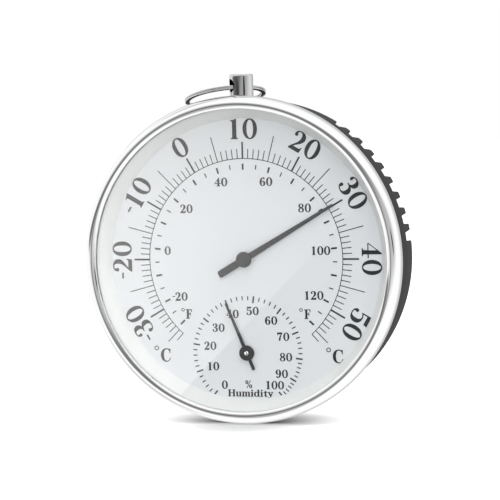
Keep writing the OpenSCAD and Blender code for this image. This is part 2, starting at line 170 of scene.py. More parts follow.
def curvePiece(name, curve, place, material):
    source = bpy.data.objects.new(name + "Curve", curve)
    scene.collection.objects.link(source)
    mesh = plainMesh(source)
    closeMesh(mesh, 1e-4)
    mesh.transform(Matrix.Scale(mm, 4) @ place)
    bpy.data.objects.remove(source)
    shadeByAngle(mesh, 30)
    return linkPiece(name, mesh, material)


def plainMesh(source):
    bpy.context.view_layer.update()
    graph = bpy.context.evaluated_depsgraph_get()
    return bpy.data.meshes.new_from_object(source.evaluated_get(graph), preserve_all_data_layers=True,
                                           depsgraph=graph)


def settle(piece):
    # the modifiers' result becomes the piece's own mesh
    mesh = plainMesh(piece)
    piece.modifiers.clear()
    piece.data = mesh
    return piece


def cutWith(piece, name, mesh):
    # the cutter is deleted once the piece has settled
    cutter = linkPiece(name, mesh)
    cut = piece.modifiers.new(name, "BOOLEAN")
    cut.object = cutter
    cut.operation = "DIFFERENCE"
    return cutter


# Node tools

def feed(tree, sockets, feeds):
    # a socket takes another socket, a node's first output or a plain value
    for label, value in feeds.items():
        if isinstance(value, bpy.types.Node):
            value = value.outputs[0]
        if isinstance(value, bpy.types.NodeSocket):
            tree.links.new(value, sockets[label])
        else:
            sockets[label].default_value = value


def addNode(tree, kind, feeds=None, **settings):
    node = tree.nodes.new(kind)
    for key, value in settings.items():
        setattr(node, key, value)
    feed(tree, node.inputs, feeds or {})
    return node


def maths(tree, operation, *values):
    return addNode(tree, "ShaderNodeMath", dict(enumerate(values)), operation=operation).outputs[0]


def combine(tree, *parts):
    return addNode(tree, "ShaderNodeCombineXYZ", dict(enumerate(parts)))


def openGroup(tree, inputs, outputs):
    # both hold the label, kind and value of each socket
    for side, sockets in (("INPUT", inputs), ("OUTPUT", outputs)):
        for label, kind, value in sockets:
            socket = tree.interface.new_socket(label, in_out=side, socket_type="NodeSocket" + kind)
            if value is not None:
                socket.default_value = value
    return tree, tree.nodes.new("NodeGroupInput").outputs, tree.nodes.new("NodeGroupOutput").inputs


def growTree(name, **labels):
    # a geometry tree whose own values are listed by kind
    tree = bpy.data.node_groups.new(name, "GeometryNodeTree")
    mesh = [("Geometry", "Geometry", None)]
    return openGroup(tree, mesh + [(label, kind, None) for kind in labels for label in labels[kind]], mesh)


def effectGroup(name, inputs, outputs):
    tree = bpy.data.node_groups.new(name, "ShaderNodeTree")
    sockets = [(label, "Float" if isinstance(value, float) else "Vector", value)
               for label, value in inputs.items()]
    return openGroup(tree, sockets, [(label, "Float", None) for label in outputs])


def growOn(piece, tree, values):
    modifier = piece.modifiers.new("grow", "NODES")
    modifier.node_group = tree
    for item in tree.interface.items_tree:
        if item.in_out == "INPUT" and item.name in values:
            modifier[item.identifier] = values[item.name]


def grownPiece(name, tree, values):
    piece = linkPiece(name, bpy.data.meshes.new(name))
    growOn(piece, tree, values)
    return settle(piece)


def endTree(tree, result, geometry, material):
    whole = addNode(tree, "GeometryNodeRealizeInstances", {0: geometry})
    finish = addNode(tree, "GeometryNodeSetMaterial", {"Geometry": whole, "Material": material})
    feed(tree, result, {0: finish})


def cutFromCase(tree, given, result, cutters):
    real = addNode(tree, "GeometryNodeRealizeInstances", {0: cutters})
    cut = addNode(tree, "GeometryNodeMeshBoolean", {"Mesh 1": given["Geometry"], "Mesh 2": real},
                  operation="DIFFERENCE", solver="EXACT")
    endTree(tree, result, cut, finishes["case"])


def boxNode(tree, size, place):
    cube = addNode(tree, "GeometryNodeMeshCube", {"Size": combine(tree, *size)})
    return addNode(tree, "GeometryNodeTransform", {"Geometry": cube, "Translation": combine(tree, *place)})


def sweptArc(tree, radius, start, sweep, steps, section, forward):
    # a rectangle swept along an arc of the dial's plane, put this far forward
    calc = partial(addNode, tree)
    arc = calc("GeometryNodeCurveArc", {"Resolution": steps, "Radius": radius, "Start Angle": start,
                                        "Sweep Angle": sweep})
    profile = calc("GeometryNodeCurvePrimitiveQuadrilateral", {"Width": section[0], "Height": section[1]})
    body = calc("GeometryNodeCurveToMesh", {"Curve": arc, "Profile Curve": profile, "Fill Caps": True})
    return calc("GeometryNodeTransform", {"Geometry": body, "Rotation": (math.radians(90), 0, 0),
                                          "Translation": combine(tree, 0, forward, 0)})


def rowAbout(tree, shape, count, first, pitch, centre=(0, 0, 0)):
    # copies of a shape in a row about a centre, turned clockwise as seen from the front
    index = addNode(tree, "GeometryNodeInputIndex")
    angle = maths(tree, "MULTIPLY", index, pitch)
    if first is not None:
        angle = maths(tree, "ADD", first, angle)
    points = addNode(tree, "GeometryNodePoints", {"Count": count, "Position": centre})
    return addNode(tree, "GeometryNodeInstanceOnPoints", {
        "Points": points, "Instance": shape, "Rotation": combine(tree, 0, angle, 0)})


# Shared shader groups

def makeMouldGrain():
    # spark-eroded mould texture: fine cells under a softer ripple, and a slow mottle for the colour
    tree, given, result = effectGroup("mouldGrain", {"Vector": None, "Cells": 3000.0, "Mottle Scale": 60.0},
                                      ["Height", "Mottle"])
    place = given["Vector"]
    cells = addNode(tree, "ShaderNodeTexVoronoi", {
        "Vector": place, "Scale": given["Cells"], "Smoothness": 0.6}, feature="SMOOTH_F1")
    ripple = addNode(tree, "ShaderNodeTexNoise", {
        "Vector": place, "Scale": maths(tree, "MULTIPLY", given["Cells"], 0.6), "Detail": 4})
    slow = addNode(tree, "ShaderNodeTexNoise", {"Vector": place, "Scale": given["Mottle Scale"], "Detail": 3})
    feed(tree, result, {"Height": maths(tree, "ADD", cells, ripple), "Mottle": slow})
    return tree


def makePolishMarks():
    # hairline marks of a polished or brushed surface, long across one direction
    tree, given, result = effectGroup("polishMarks", {
        "Vector": None, "Stretch": (1.0, 1.0, 1.0), "Scale": 900.0, "Smooth": 0.05, "Rough": 0.12},
        ["Height", "Roughness", "Mark"])
    stretch = addNode(tree, "ShaderNodeVectorMath", {0: given["Vector"], 1: given["Stretch"]},
                      operation="MULTIPLY")
    lines = addNode(tree, "ShaderNodeTexNoise", {
        "Vector": stretch, "Scale": given["Scale"], "Detail": 6, "Roughness": 0.65})
    cloud = addNode(tree, "ShaderNodeTexNoise", {"Vector": given["Vector"], "Scale": 45, "Detail": 2})
    spread = addNode(tree, "ShaderNodeMapRange", {
        "Value": maths(tree, "MULTIPLY", lines, cloud), "From Min": 0.35, "From Max": 0.75,
        "To Min": given["Smooth"], "To Max": given["Rough"]})
    feed(tree, result, {"Roughness": spread, "Height": lines, "Mark": cloud})
    return tree


def makeSkyPatch():
    # a soft oval on the sky: 1 inside, 0 outside, about a direction given as azimuth and elevation
    tree, given, result = effectGroup("skyPatch", {
        "Direction": None, "Azimuth": 0.0, "Elevation": 0.0, "Half Width": 0.3, "Half Height": 0.3,
        "Edge": 0.5, "Slant Azimuth": 0.0, "Slant Elevation": 0.0}, ["Mask", "Slanted Mask"])
    calc = partial(maths, tree)
    x, y, z = addNode(tree, "ShaderNodeSeparateXYZ", {0: given["Direction"]}).outputs
    azimuth = calc("ARCTAN2", x, calc("MULTIPLY", y, -1.0))
    elevation = calc("ARCSINE", z)
    turned = calc("WRAP", calc("SUBTRACT", azimuth, given["Azimuth"]), math.pi, -math.pi)
    across = calc("DIVIDE", turned, given["Half Width"])
    above = calc("DIVIDE", calc("SUBTRACT", elevation, given["Elevation"]), given["Half Height"])
    far = calc("SQRT", calc("ADD", calc("MULTIPLY", across, across), calc("MULTIPLY", above, above)))
    fade = addNode(tree, "ShaderNodeMapRange", {
        "Value": far, "From Min": given["Edge"], "From Max": 1.0, "To Min": 1.0, "To Max": 0.0},
        interpolation_type="SMOOTHSTEP")
    # the slanted mask ends at a line that rises to the right through its own point
    side = calc("SUBTRACT", calc("SUBTRACT", elevation, given["Slant Elevation"]),
                calc("SUBTRACT", azimuth, given["Slant Azimuth"]))
    keep = addNode(tree, "ShaderNodeMapRange", {"Value": side, "From Min": -0.001, "From Max": 0.001},
                   interpolation_type="SMOOTHSTEP")
    feed(tree, result, {"Mask": fade, "Slanted Mask": calc("MULTIPLY", fade, keep)})
    return tree


effects = {"mouldGrain": makeMouldGrain(), "polishMarks": makePolishMarks(), "skyPatch": makeSkyPatch()}


def effect(tree, name, feeds):
    return addNode(tree, "ShaderNodeGroup", feeds, node_tree=effects[name])


# Finishes

def startMaterial(name):
    material = bpy.data.materials.new(name)
    material.use_nodes = True
    tree = material.node_tree
    place = addNode(tree, "ShaderNodeTexCoord")
    return material, tree, tree.nodes["Principled BSDF"], place.outputs["Object"]


def tint(tree, factor, dark, light):
    mix = addNode(tree, "ShaderNodeMix", {"A": (*dark, 1), "B": (*light, 1), "Factor": factor},
                  data_type="RGBA")
    return mix.outputs["Result"]


def bumped(tree, height, depth):
    return addNode(tree, "ShaderNodeBump", {"Strength": 1.0, "Distance": depth, "Height": height})


def plasticFinish(name, dark, light, rough, cells=3000.0, depth=4e-6, mottle=60.0, specular=0.5):
    material, tree, surface, place = startMaterial(name)
    grain = effect(tree, "mouldGrain", {"Vector": place, "Cells": cells, "Mottle Scale": mottle}).outputs
    sheen = addNode(tree, "ShaderNodeMapRange", {
        "Value": grain["Height"], "To Min": rough[0], "To Max": rough[1]})
    feed(tree, surface.inputs, {
        "Specular IOR Level": specular, "Base Color": tint(tree, grain["Mottle"], dark, light),
        "Roughness": sheen, "Normal": bumped(tree, grain["Height"], depth)})
    return material


def metalFinish(name, dark, light, rough, stretch=(1.0, 1.0, 1.0), scale=900.0, depth=4e-7):
    material, tree, surface, place = startMaterial(name)
    marks = effect(tree, "polishMarks", {
        "Vector": place, "Stretch": stretch, "Scale": scale, "Smooth": rough[0], "Rough": rough[1]}).outputs
    feed(tree, surface.inputs, {
        "Metallic": 1.0, "Base Color": tint(tree, marks["Mark"], dark, light),
        "Roughness": marks["Roughness"], "Normal": bumped(tree, marks["Height"], depth)})
    return material


def clearGlass(name, dark, light):
    material, tree, surface, place = startMaterial(name)
    marks = effect(tree, "polishMarks", {
        "Vector": place, "Scale": 260.0, "Smooth": 0.0, "Rough": 0.0}).outputs
    feed(tree, surface.inputs, {
        "Transmission Weight": 1.0, "IOR": 1.52, "Base Color": tint(tree, marks["Mark"], dark, light),
        "Roughness": marks["Roughness"]})
    # the dial gets its light straight through the glass
    path = addNode(tree, "ShaderNodeLightPath").outputs
    clear = addNode(tree, "ShaderNodeBsdfTransparent")
    mix = addNode(tree, "ShaderNodeMixShader", {0: path["Is Shadow Ray"], 1: surface, 2: clear})
    feed(tree, tree.nodes["Material Output"].inputs, {"Surface": mix})
    return material


# each has its darker and lighter colour, then its least and most roughness
finishes = {
    "case": plasticFinish("charcoalCase", (0.027, 0.027, 0.028), (0.036, 0.036, 0.037), (0.5, 0.66),
                          specular=0.15),
    "chrome": metalFinish("bezelChrome", (0.90, 0.90, 0.91), (0.95, 0.95, 0.95), (0.03, 0.09)),
    "hanger": metalFinish("hangerChrome", (0.60, 0.605, 0.615), (0.68, 0.68, 0.685), (0.02, 0.06)),
    "surround": plasticFinish("surroundWhite", (0.68, 0.685, 0.68), (0.71, 0.715, 0.71), (0.34, 0.48),
                              cells=2600.0, depth=2e-6),
    "dial": plasticFinish("dialPaint", (0.612, 0.622, 0.644), (0.632, 0.642, 0.664), (0.4, 0.55),
                          cells=5200.0, depth=1.5e-6, mottle=35.0),
    "ink": plasticFinish("scaleInk", (0.008, 0.0085, 0.01), (0.014, 0.0145, 0.016), (0.45, 0.6),
                         cells=7000.0, depth=1e-6, mottle=400.0, specular=0.15),
    "greyPointer": plasticFinish("pointerGrey", (0.028, 0.029, 0.032), (0.037, 0.038, 0.041), (0.32, 0.45),
                                 cells=6000.0, depth=1.2e-6, mottle=250.0, specular=0.3),
    "blackPointer": plasticFinish("pointerBlack", (0.012, 0.012, 0.013), (0.018, 0.018, 0.02), (0.3, 0.42),
                                  cells=6000.0, depth=1.2e-6, mottle=250.0, specular=0.25),
    "glass": clearGlass("frontGlass", (0.975, 0.99, 0.985), (0.985, 0.995, 0.99)),
    "rubber": plasticFinish("gasketSilicone", (0.55, 0.55, 0.54), (0.62, 0.62, 0.61), (0.5, 0.7),
                            cells=1800.0, depth=8e-6),
    "brass": metalFinish("turnedBrass", (0.60, 0.42, 0.16), (0.72, 0.53, 0.24), (0.18, 0.34), scale=1500.0),
    "bridgeBrass": metalFinish("rolledBrass", (0.56, 0.41, 0.18), (0.68, 0.52, 0.27), (0.24, 0.42),
                               stretch=(0.1, 1.0, 1.0), scale=2200.0),
    "zinc": metalFinish("zincPlate", (0.50, 0.51, 0.52), (0.60, 0.61, 0.62), (0.3, 0.5),
                        stretch=(1.0, 1.0, 0.12), scale=1600.0),
    "screwSteel": metalFinish("screwSteel", (0.48, 0.48, 0.49), (0.6, 0.6, 0.61), (0.18, 0.36), scale=1800.0),
    "arborSteel": metalFinish("arborSteel", (0.56, 0.545, 0.53), (0.66, 0.645, 0.63), (0.12, 0.25),
                              scale=1800.0),
    "bimetal": metalFinish("bimetalStrip", (0.50, 0.44, 0.36), (0.60, 0.53, 0.44), (0.25, 0.45),
                           stretch=(1.0, 0.2, 1.0), scale=2000.0),
    "humidityStrip": plasticFinish("humidityStrip", (0.33, 0.35, 0.22), (0.42, 0.43, 0.29), (0.4, 0.6),
                                   cells=2400.0, depth=3e-6),
}
print("finishes made:", len(finishes))


# Camera, light and floor

# distances in mm, angles in radians, focal length and frame in picture points, near and far ends in m
view = {"distance": 700.0, "yaw": 0.2941, "pitch": 0.0752, "roll": -0.0262, "across": -2.564, "up": -3.1793,
        "focal": 2259.23, "frame": 500.0, "aimHeight": 21.8, "sensor": 36,
        "nearest": 0.02, "farthest": 50}


def makeCamera():
    yaw, pitch, roll = view["yaw"], view["pitch"], view["roll"]
    away = Vector((math.sin(yaw) * math.cos(pitch), -math.cos(yaw) * math.cos(pitch), math.sin(pitch)))
    level = Vector((math.cos(yaw), math.sin(yaw), 0))
    rise = level.cross(-away)
    right = level * math.cos(roll) + rise * math.sin(roll)
    up = rise * math.cos(roll) - level * math.sin(roll)
    spot = away * view["distance"] - right * view["across"] - up * view["up"]
    spot += Vector((0, -view["aimHeight"], 0))
    data = bpy.data.cameras.new("photoCamera")
    data.sensor_width = view["sensor"]
    data.lens = view["focal"] * view["sensor"] / view["frame"]
    data.clip_start, data.clip_end = view["nearest"], view["farthest"]
    camera = bpy.data.objects.new("photoCamera", data)
    turn = Matrix((right, up, away)).transposed().to_4x4()
    camera.matrix_world = Matrix.Translation(spot * mm) @ turn
    scene.collection.objects.link(camera)
    scene.camera = camera


studio = {"ambient": 0.66, "glossWhite": 1.07,
          # soft lamps: name, place in metres, size, power
          "lamps": [("softKey", (0.4, -1.98, 0.4), 1.6, 23.5), ("topLight", (0.1, -0.6, 1.5), 0.8, 9.0)],
          # grey cards that only reflections see: azimuth, elevation, half width, half height,
          # depth and edge start
          "cards": [(14, 11, 100, 30, 0.5, 0.4),  # the dim room in front, all round the horizon
                    (3, 14, 20, 16, 0.6, 0.2), (20, 25, 26, 16, 0.45, 0.2), (-14, -16, 14, 34, 0.55, 0.3),
                    (-14, 6, 22, 20, 0.4, 0.3), (-44, 2, 44, 6, 0.8, 0.45), (42, 2, 11, 6, 0.95, 0.5),
                    (180, 0, 60, 70, 0.42, 0.4),  # behind the object, for the edges of round metal
                    (-88, -42, 45, 26, 0.38, 0.3), (-118, 50, 45, 16, 0.36, 0.3)],
          # the bright window that the flat glass shows: azimuth, elevation, half size, and its slanted edge
          "window": (-27.5, -3.5, 14.5), "windowEdge": (-16.7, -5.9), "windowBlur": 0.2,
          "windowGlow": 2.9, "windowTint": (1.0, 0.955, 0.93)}

# the glow makes the floor white from glowFull mm round the contact point, and is none within glowStart, so
# the floor round the contact is painted darker: a painted contact shadow laid over the real one
floorLook = {"radius": 3.0, "height": -51.0, "paint": 0.76, "glow": 0.8, "contact": (0, -23),
             "glowStart": 6.0, "glowFull": 36.0, "segments": 96}


def patchPlace(azimuth, elevation, halfWidth, halfHeight):
    return {"Azimuth": math.radians(azimuth), "Elevation": math.radians(elevation),
            "Half Width": math.radians(halfWidth), "Half Height": math.radians(halfHeight)}


def makeSky():
    # the camera sees white, polished metal and glass see the cards and the window, the rest an even light
    sky = bpy.data.worlds.new("studioSky")
    scene.world = sky
    sky.use_nodes = True
    tree = sky.node_tree
    calc = partial(maths, tree)
    ambient = tree.nodes["Background"]
    feed(tree, ambient.inputs, {"Strength": studio["ambient"], "Color": (1, 1, 1, 1)})
    white = addNode(tree, "ShaderNodeBackground", {"Color": (1, 1, 1, 1)})
    direction = addNode(tree, "ShaderNodeTexCoord").outputs["Generated"]
    left = None
    for *place, depth, edge in studio["cards"]:
        patch = effect(tree, "skyPatch", {"Direction": direction, "Edge": edge, **patchPlace(*place)}).outputs
        kept = calc("SUBTRACT", 1.0, calc("MULTIPLY", patch["Mask"], depth))
        left = kept if left is None else calc("MULTIPLY", left, kept)
    azimuth, elevation, size = studio["window"]
    slantAzimuth, slantElevation = [math.radians(angle) for angle in studio["windowEdge"]]
    window = effect(tree, "skyPatch", {
        "Direction": direction, "Edge": studio["windowBlur"], "Slant Azimuth": slantAzimuth,
        "Slant Elevation": slantElevation, **patchPlace(azimuth, elevation, size, size)}).outputs
    path = addNode(tree, "ShaderNodeLightPath").outputs
    bright = calc("MULTIPLY", path["Is Singular Ray"], studio["windowGlow"])
    lit = addNode(tree, "ShaderNodeVectorMath", {
        0: studio["windowTint"], 1: calc("MULTIPLY", window["Slanted Mask"], bright), 2: left},
        operation="MULTIPLY_ADD")
    mirror = addNode(tree, "ShaderNodeBackground", {"Color": lit, "Strength": studio["glossWhite"]})
    plain = addNode(tree, "ShaderNodeMixShader", {0: path["Is Camera Ray"], 1: ambient, 2: white})
    shown = addNode(tree, "ShaderNodeMixShader", {0: path["Is Glossy Ray"], 1: plain, 2: mirror})
    feed(tree, tree.nodes["World Output"].inputs, {0: shown})


def makeLamps():
    for name, place, size, power in studio["lamps"]:
        light = bpy.data.lights.new(name, "AREA")
        light.size = size
        light.energy = power
        lamp = bpy.data.objects.new(name, light)
        spot = Vector(place)
        lamp.matrix_world = Matrix.Translation(spot) @ spot.to_track_quat("Z", "Y").to_matrix().to_4x4()
        lamp.visible_glossy = False
        scene.collection.objects.link(lamp)


def makeFloor():
    look = floorLook
    bm = bmesh.new()
    bmesh.ops.create_circle(bm, cap_ends=True, segments=look["segments"], radius=look["radius"],
                            matrix=Matrix.Translation((0, 0, look["height"] * mm)))
    material, tree, surface, place = startMaterial("paleFloor")
    tree.nodes.remove(surface)
    matt = addNode(tree, "ShaderNodeBsdfDiffuse", {"Color": (look["paint"],) * 3 + (1,)})
    # the glow fades out round the contact, so the real shadow shows there together with a painted shade where
    # the glow is missing, and the rest stays white
    far = addNode(tree, "ShaderNodeVectorMath", {
        0: place, 1: [part * mm for part in (*look["contact"], look["height"])]}, operation="DISTANCE")
    fade = addNode(tree, "ShaderNodeMapRange", {
        "Value": far.outputs["Value"], "From Min": look["glowStart"] * mm, "From Max": look["glowFull"] * mm,
        "To Max": look["glow"]}, interpolation_type="SMOOTHSTEP")
    glow = addNode(tree, "ShaderNodeEmission", {"Strength": fade})
    both = addNode(tree, "ShaderNodeAddShader", {0: matt, 1: glow})
    path = addNode(tree, "ShaderNodeLightPath").outputs
    shown = addNode(tree, "ShaderNodeMixShader", {0: path["Is Camera Ray"], 1: matt, 2: both})
    facing = addNode(tree, "ShaderNodeNewGeometry").outputs
    clear = addNode(tree, "ShaderNodeBsdfTransparent")
    sided = addNode(tree, "ShaderNodeMixShader", {0: facing["Backfacing"], 1: shown, 2: clear})
    feed(tree, tree.nodes["Material Output"].inputs, {"Surface": sided})
    floor = linkPiece("studioFloor", meshFrom("studioFloor", bm), material)
    # polished pieces and the glass mirror the white sky and its cards instead
    floor.visible_glossy = floor.visible_transmission = False


makeCamera()
makeSky()
makeLamps()
makeFloor()
print("camera, light and floor set")


# Case

caseLook = {"notches": 9, "pitch": 6.17, "notchWidth": 3.3, "notchDepth": 8.2, "draft": 0.45,
            "groupMiddle": 58.3, "notchReach": 4.65, "edgeRound": 0.28, "edgeAngle": 42, "shadeAngle": 38,
            "ventRadii": [20, 27, 34], "ventWidth": 2.2, "ventSweep": 56.0, "ventsPerRing": 3,
            "ventSteps": 24,
            "backLoops": [15, 24.6, 31.6, 38.5], "sideLoops": [11, 14.5], "skirtWall": 1.65, "wall": 1.9,
            "topTurns": 20, "bottomTurns": 60,
            # radius, from and to height of the washer's recess, the stud's hole and its seat
            "seatSteps": [(3.2, 43.9, 48.3), (1.65, 48.3, 49.3), (3.8, 49.3, 52)], "seatTurns": 48}

# ribs under the dial's edge and bosses under the movement plate
supportLook = {"ribs": 6, "firstRib": -30, "ribRadius": 46.6, "ribTop": 17.1, "ribWidth": 2, "ribDepth": 4.2,
               "bossAcross": (-10.8, 10.8), "bossUp": (11.5, -40.8), "bossTop": 14.2, "bossRadius": 2.6,
               "bossSides": 32, "sunk": 0.3}


def notchTree(look):
    # cutters stand in a row round the rear rim and are taken out of the wall; they narrow with depth
    tree, given, result = growTree("rimNotches", Int=["Count"], Float=[
        "First Angle", "Pitch", "Width", "Draft", "Depth", "Radius"])
    calc = partial(maths, tree)
    over = 1 * mm
    tall = calc("ADD", given["Depth"], over)
    block = boxNode(tree, (given["Width"], tall, look["notchReach"] * mm),
                    (0, calc("SUBTRACT", over, calc("MULTIPLY", tall, 0.5)), given["Radius"]))
    x, y, z = addNode(tree, "ShaderNodeSeparateXYZ", {0: addNode(tree, "GeometryNodeInputPosition")}).outputs
    taper = calc("DIVIDE", calc("MULTIPLY", given["Draft"], 2.0), given["Width"])
    narrow = addNode(tree, "ShaderNodeMapRange", {
        "Value": y, "From Max": calc("MULTIPLY", given["Depth"], -1.0), "To Min": 1.0,
        "To Max": calc("SUBTRACT", 1.0, taper)})
    shape = addNode(tree, "GeometryNodeSetPosition", {
        "Geometry": block, "Position": combine(tree, calc("MULTIPLY", x, narrow), y, z)})
    cutFromCase(tree, given, result,
                rowAbout(tree, shape, given["Count"], given["First Angle"], given["Pitch"]))
    return tree


def ventTree(look):
    # curved slots on one ring through the back wall
    tree, given, result = growTree("ventSlots", Float=[
        "Radius", "Width", "Sweep", "From Height", "To Height"])
    calc = partial(maths, tree)
    low, high, sweep, width = (given[label] for label in ("From Height", "To Height", "Sweep", "Width"))
    start = calc("SUBTRACT", math.radians(90), calc("MULTIPLY", sweep, 0.5))
    slot = sweptArc(tree, calc("ADD", given["Radius"], calc("MULTIPLY", width, 0.5)), start, sweep,
                    look["ventSteps"], (width, calc("SUBTRACT", high, low)),
                    calc("MULTIPLY", calc("ADD", low, high), -0.5))
    count = look["ventsPerRing"]
    cutFromCase(tree, given, result, rowAbout(tree, slot, count, None, math.radians(360 / count)))
    return tree


def makeCase():
    look = caseLook
    first = look["groupMiddle"] - (look["notches"] - 1) / 2 * look["pitch"]
    half = look["pitch"] / 2
    group = [first + (k - 1) * half for k in range(2 * look["notches"] + 1)]
    topTurns, bottomTurns = look["topTurns"], look["bottomTurns"]
    top = [-group[0] + 2 * group[0] * k / topTurns for k in range(1, topTurns)]
    bottom = [group[-1] + (360 - 2 * group[-1]) * k / bottomTurns for k in range(1, bottomTurns)]
    stations = group + bottom + [360 - a for a in reversed(group)] + top

    def wallR(h):
        return radii["rim"] + (radii["shoulder"] - radii["rim"]) * h / heights["shoulder"]

    ceiling, floor, shoulder, front = (heights[key] for key in ("ceiling", "innerFloor", "shoulder", "front"))
    skirt = look["skirtWall"]
    outline = [(0, ceiling)] + [(r, ceiling) for r in look["backLoops"]]
    outline += [(wallR(ceiling) - skirt, ceiling), (radii["rim"] - skirt, 0), (radii["rim"], 0)]
    outline += [(wallR(h), h) for h in look["sideLoops"]]
    outline += [(radii["shoulder"], shoulder), (radii["spigot"], shoulder), (radii["spigot"], front),
                (radii["bore"], front), (wallR(floor) - look["wall"], floor)]
    outline += [(r, floor) for r in reversed(look["backLoops"])] + [(0, floor)]
    case = linkPiece("caseDrum", turnedMesh("caseDrum", outline, dialTurn, stations), finishes["case"])
    notches = notchTree(look)
    for side in (1, -1):
        growOn(case, notches, {"Count": look["notches"], "First Angle": math.radians(side * first),
                               "Pitch": math.radians(side * look["pitch"]), "Width": look["notchWidth"] * mm,
                               "Draft": look["draft"] * mm, "Depth": look["notchDepth"] * mm,
                               "Radius": (radii["rim"] + 1 - look["notchReach"] / 2) * mm})
    vents = ventTree(look)
    for r in look["ventRadii"]:
        growOn(case, vents, {"Radius": r * mm, "Width": look["ventWidth"] * mm,
                             "Sweep": math.radians(look["ventSweep"]), "From Height": (ceiling - 1) * mm,
                             "To Height": (floor + 1) * mm})
    steps = look["seatSteps"]
    seat = [(0, steps[0][1])] + [(r, h) for r, low, high in steps for h in (low, high)] + [(0, steps[-1][2])]
    place = Matrix.Translation((0, -heights["stud"], 0))
    cutter = cutWith(case, "studSeat", turnedMesh("studSeat", seat, place, look["seatTurns"]))
    edges = case.modifiers.new("edges", "BEVEL")
    edges.width = look["edgeRound"] * mm
    edges.segments = 2
    edges.limit_method = "ANGLE"
    edges.angle_limit = math.radians(look["edgeAngle"])
    edges.use_clamp_overlap = False
    settle(case)
    bpy.data.objects.remove(cutter)
    addInnerSupports(case)
    shadeByAngle(case.data, look["shadeAngle"])
    case.data.materials.clear()
    case.data.materials.append(finishes["case"])
    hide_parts("case_shell")
    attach(case, "case")


def addInnerSupports(case):
    look = supportLook
    bm = bmesh.new()
    bm.from_mesh(case.data)
    floor, ribTop, bossTop = heights["innerFloor"] - look["sunk"], look["ribTop"], look["bossTop"]
    box = Matrix.Translation((0, look["ribRadius"], (floor + ribTop) / 2))
    box @= Matrix.Diagonal((look["ribWidth"], look["ribDepth"], ribTop - floor, 1))
    for k in range(look["ribs"]):
        turn = Matrix.Rotation(math.radians(look["firstRib"] - 360 / look["ribs"] * k), 4, "Z")
        bmesh.ops.create_cube(bm, size=1, matrix=Matrix.Scale(mm, 4) @ dialTurn @ turn @ box)
    boss, sides = look["bossRadius"] * mm, look["bossSides"]
    for x in look["bossAcross"]:
        for y in look["bossUp"]:
            spot = Matrix.Translation(onDial(x, y, (floor + bossTop) / 2))
            bmesh.ops.create_cone(bm, cap_ends=True, segments=sides, radius1=boss, radius2=boss,
                                  depth=(bossTop - floor) * mm, matrix=spot @ dialTurn)
    bm.to_mesh(case.data)
    bm.free()


makeCase()
print("case made")


# Bezel, glass and surround

bezelLook = {"noseMiddle": (48.3, 24.0), "noseRadius": 2.0, "sideMiddle": (45.193, 21.8), "sideRadius": 5.807,
             "join": 35.3, "lip": 128.7, "lipWidth": 0.35, "lipGap": 0.05, "sheet": 0.8, "endHeight": 21.3,
             # steps of the side's and the nose's arcs, on the outside and on the inside
             "outerSteps": (14, 26), "innerSteps": (10, 12), "turns": 360, "shadeAngle": 35}
glassLook = {"radius": 48.9, "edge": 0.15, "turns": 180, "shadeAngle": 30}
surroundLook = {"edge": 46.4, "seatEdge": 49.6, "slopeTop": 46.95, "slopeStart": 0.15, "round": 0.12,
                "roundSteps": 2, "turns": 300, "shadeAngle": 40}


def makeBezel():
    look = bezelLook
    (nx, nh), nr = look["noseMiddle"], look["noseRadius"]
    (sx, sh), sr = look["sideMiddle"], look["sideRadius"]
    (sideSteps, noseSteps), (innerSide, innerNose) = look["outerSteps"], look["innerSteps"]
    sheet = look["sheet"]
    skin = nr - sheet
    lipIn = 180 - math.degrees(math.acos((nx - radii["eye"] - look["lipWidth"]) / skin))
    lipHeight = heights["lensFront"] + look["lipGap"]
    outer = [(radii["bezel"], look["endHeight"])] + arcPoints(sx, sh, sr, 0, look["join"], sideSteps)
    outer += arcPoints(nx, nh, nr, look["join"], look["lip"], noseSteps)[1:]
    inner = arcPoints(nx, nh, skin, lipIn, look["join"], innerNose)
    inner += arcPoints(sx, sh, sr - sheet, look["join"], 0, innerSide)[1:]
    inner.append((radii["bezel"] - sheet, look["endHeight"]))
    lip = [(radii["eye"], lipHeight), (radii["eye"] + look["lipWidth"], lipHeight)]
    outline = outer + lip + inner
    bezel = turnedPiece("bezelRing", outline, dialTurn, look["turns"], "chrome", look["shadeAngle"])
    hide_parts("bezel_ring")
    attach(bezel, "case")


def makeGlass():
    look, low, high = glassLook, heights["lensBack"], heights["lensFront"]
    r, edge = look["radius"], look["edge"]
    outline = [(0, low), (r - edge, low), (r, low + edge), (r, high - edge), (r - edge, high), (0, high)]
    glass = turnedPiece("frontGlass", outline, dialTurn, look["turns"], "glass", look["shadeAngle"])
    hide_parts("lens")
    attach(glass, "case")


def makeSurround():
    look = surroundLook
    face, front, back = heights["dialFace"], heights["front"], heights["lensBack"]
    outline = [(radii["dial"], face), (look["edge"], face), (look["edge"], front), (look["seatEdge"], front),
               (look["seatEdge"], back), (look["slopeTop"], back), (radii["dial"], face + look["slopeStart"])]
    outline = roundCorners(outline, look["round"], look["roundSteps"])
    surround = turnedPiece("dialSurround", outline, dialTurn, look["turns"], "surround", look["shadeAngle"])
    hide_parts("dial_surround")
    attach(surround, "case")


makeBezel()
makeGlass()
makeSurround()
print("bezel, glass and surround made")


# Dial plate and its print

dialLook = {"plateRadius": 46.2, "platePoints": 180, "thickness": 0.5, "arborHole": 1.35, "holePoints": 36,
            "inkRise": 0.02, "inkSink": 0.03,
            "arcWidth": 0.24, "arcShift": 0.04, "arcRise": 0.004, "arcHalfSweep": 138.2, "arcSteps": 184}
inkDepth = dialLook["inkRise"] + dialLook["inkSink"]
inkHeight = heights["dialFace"] + (dialLook["inkRise"] - dialLook["inkSink"]) / 2


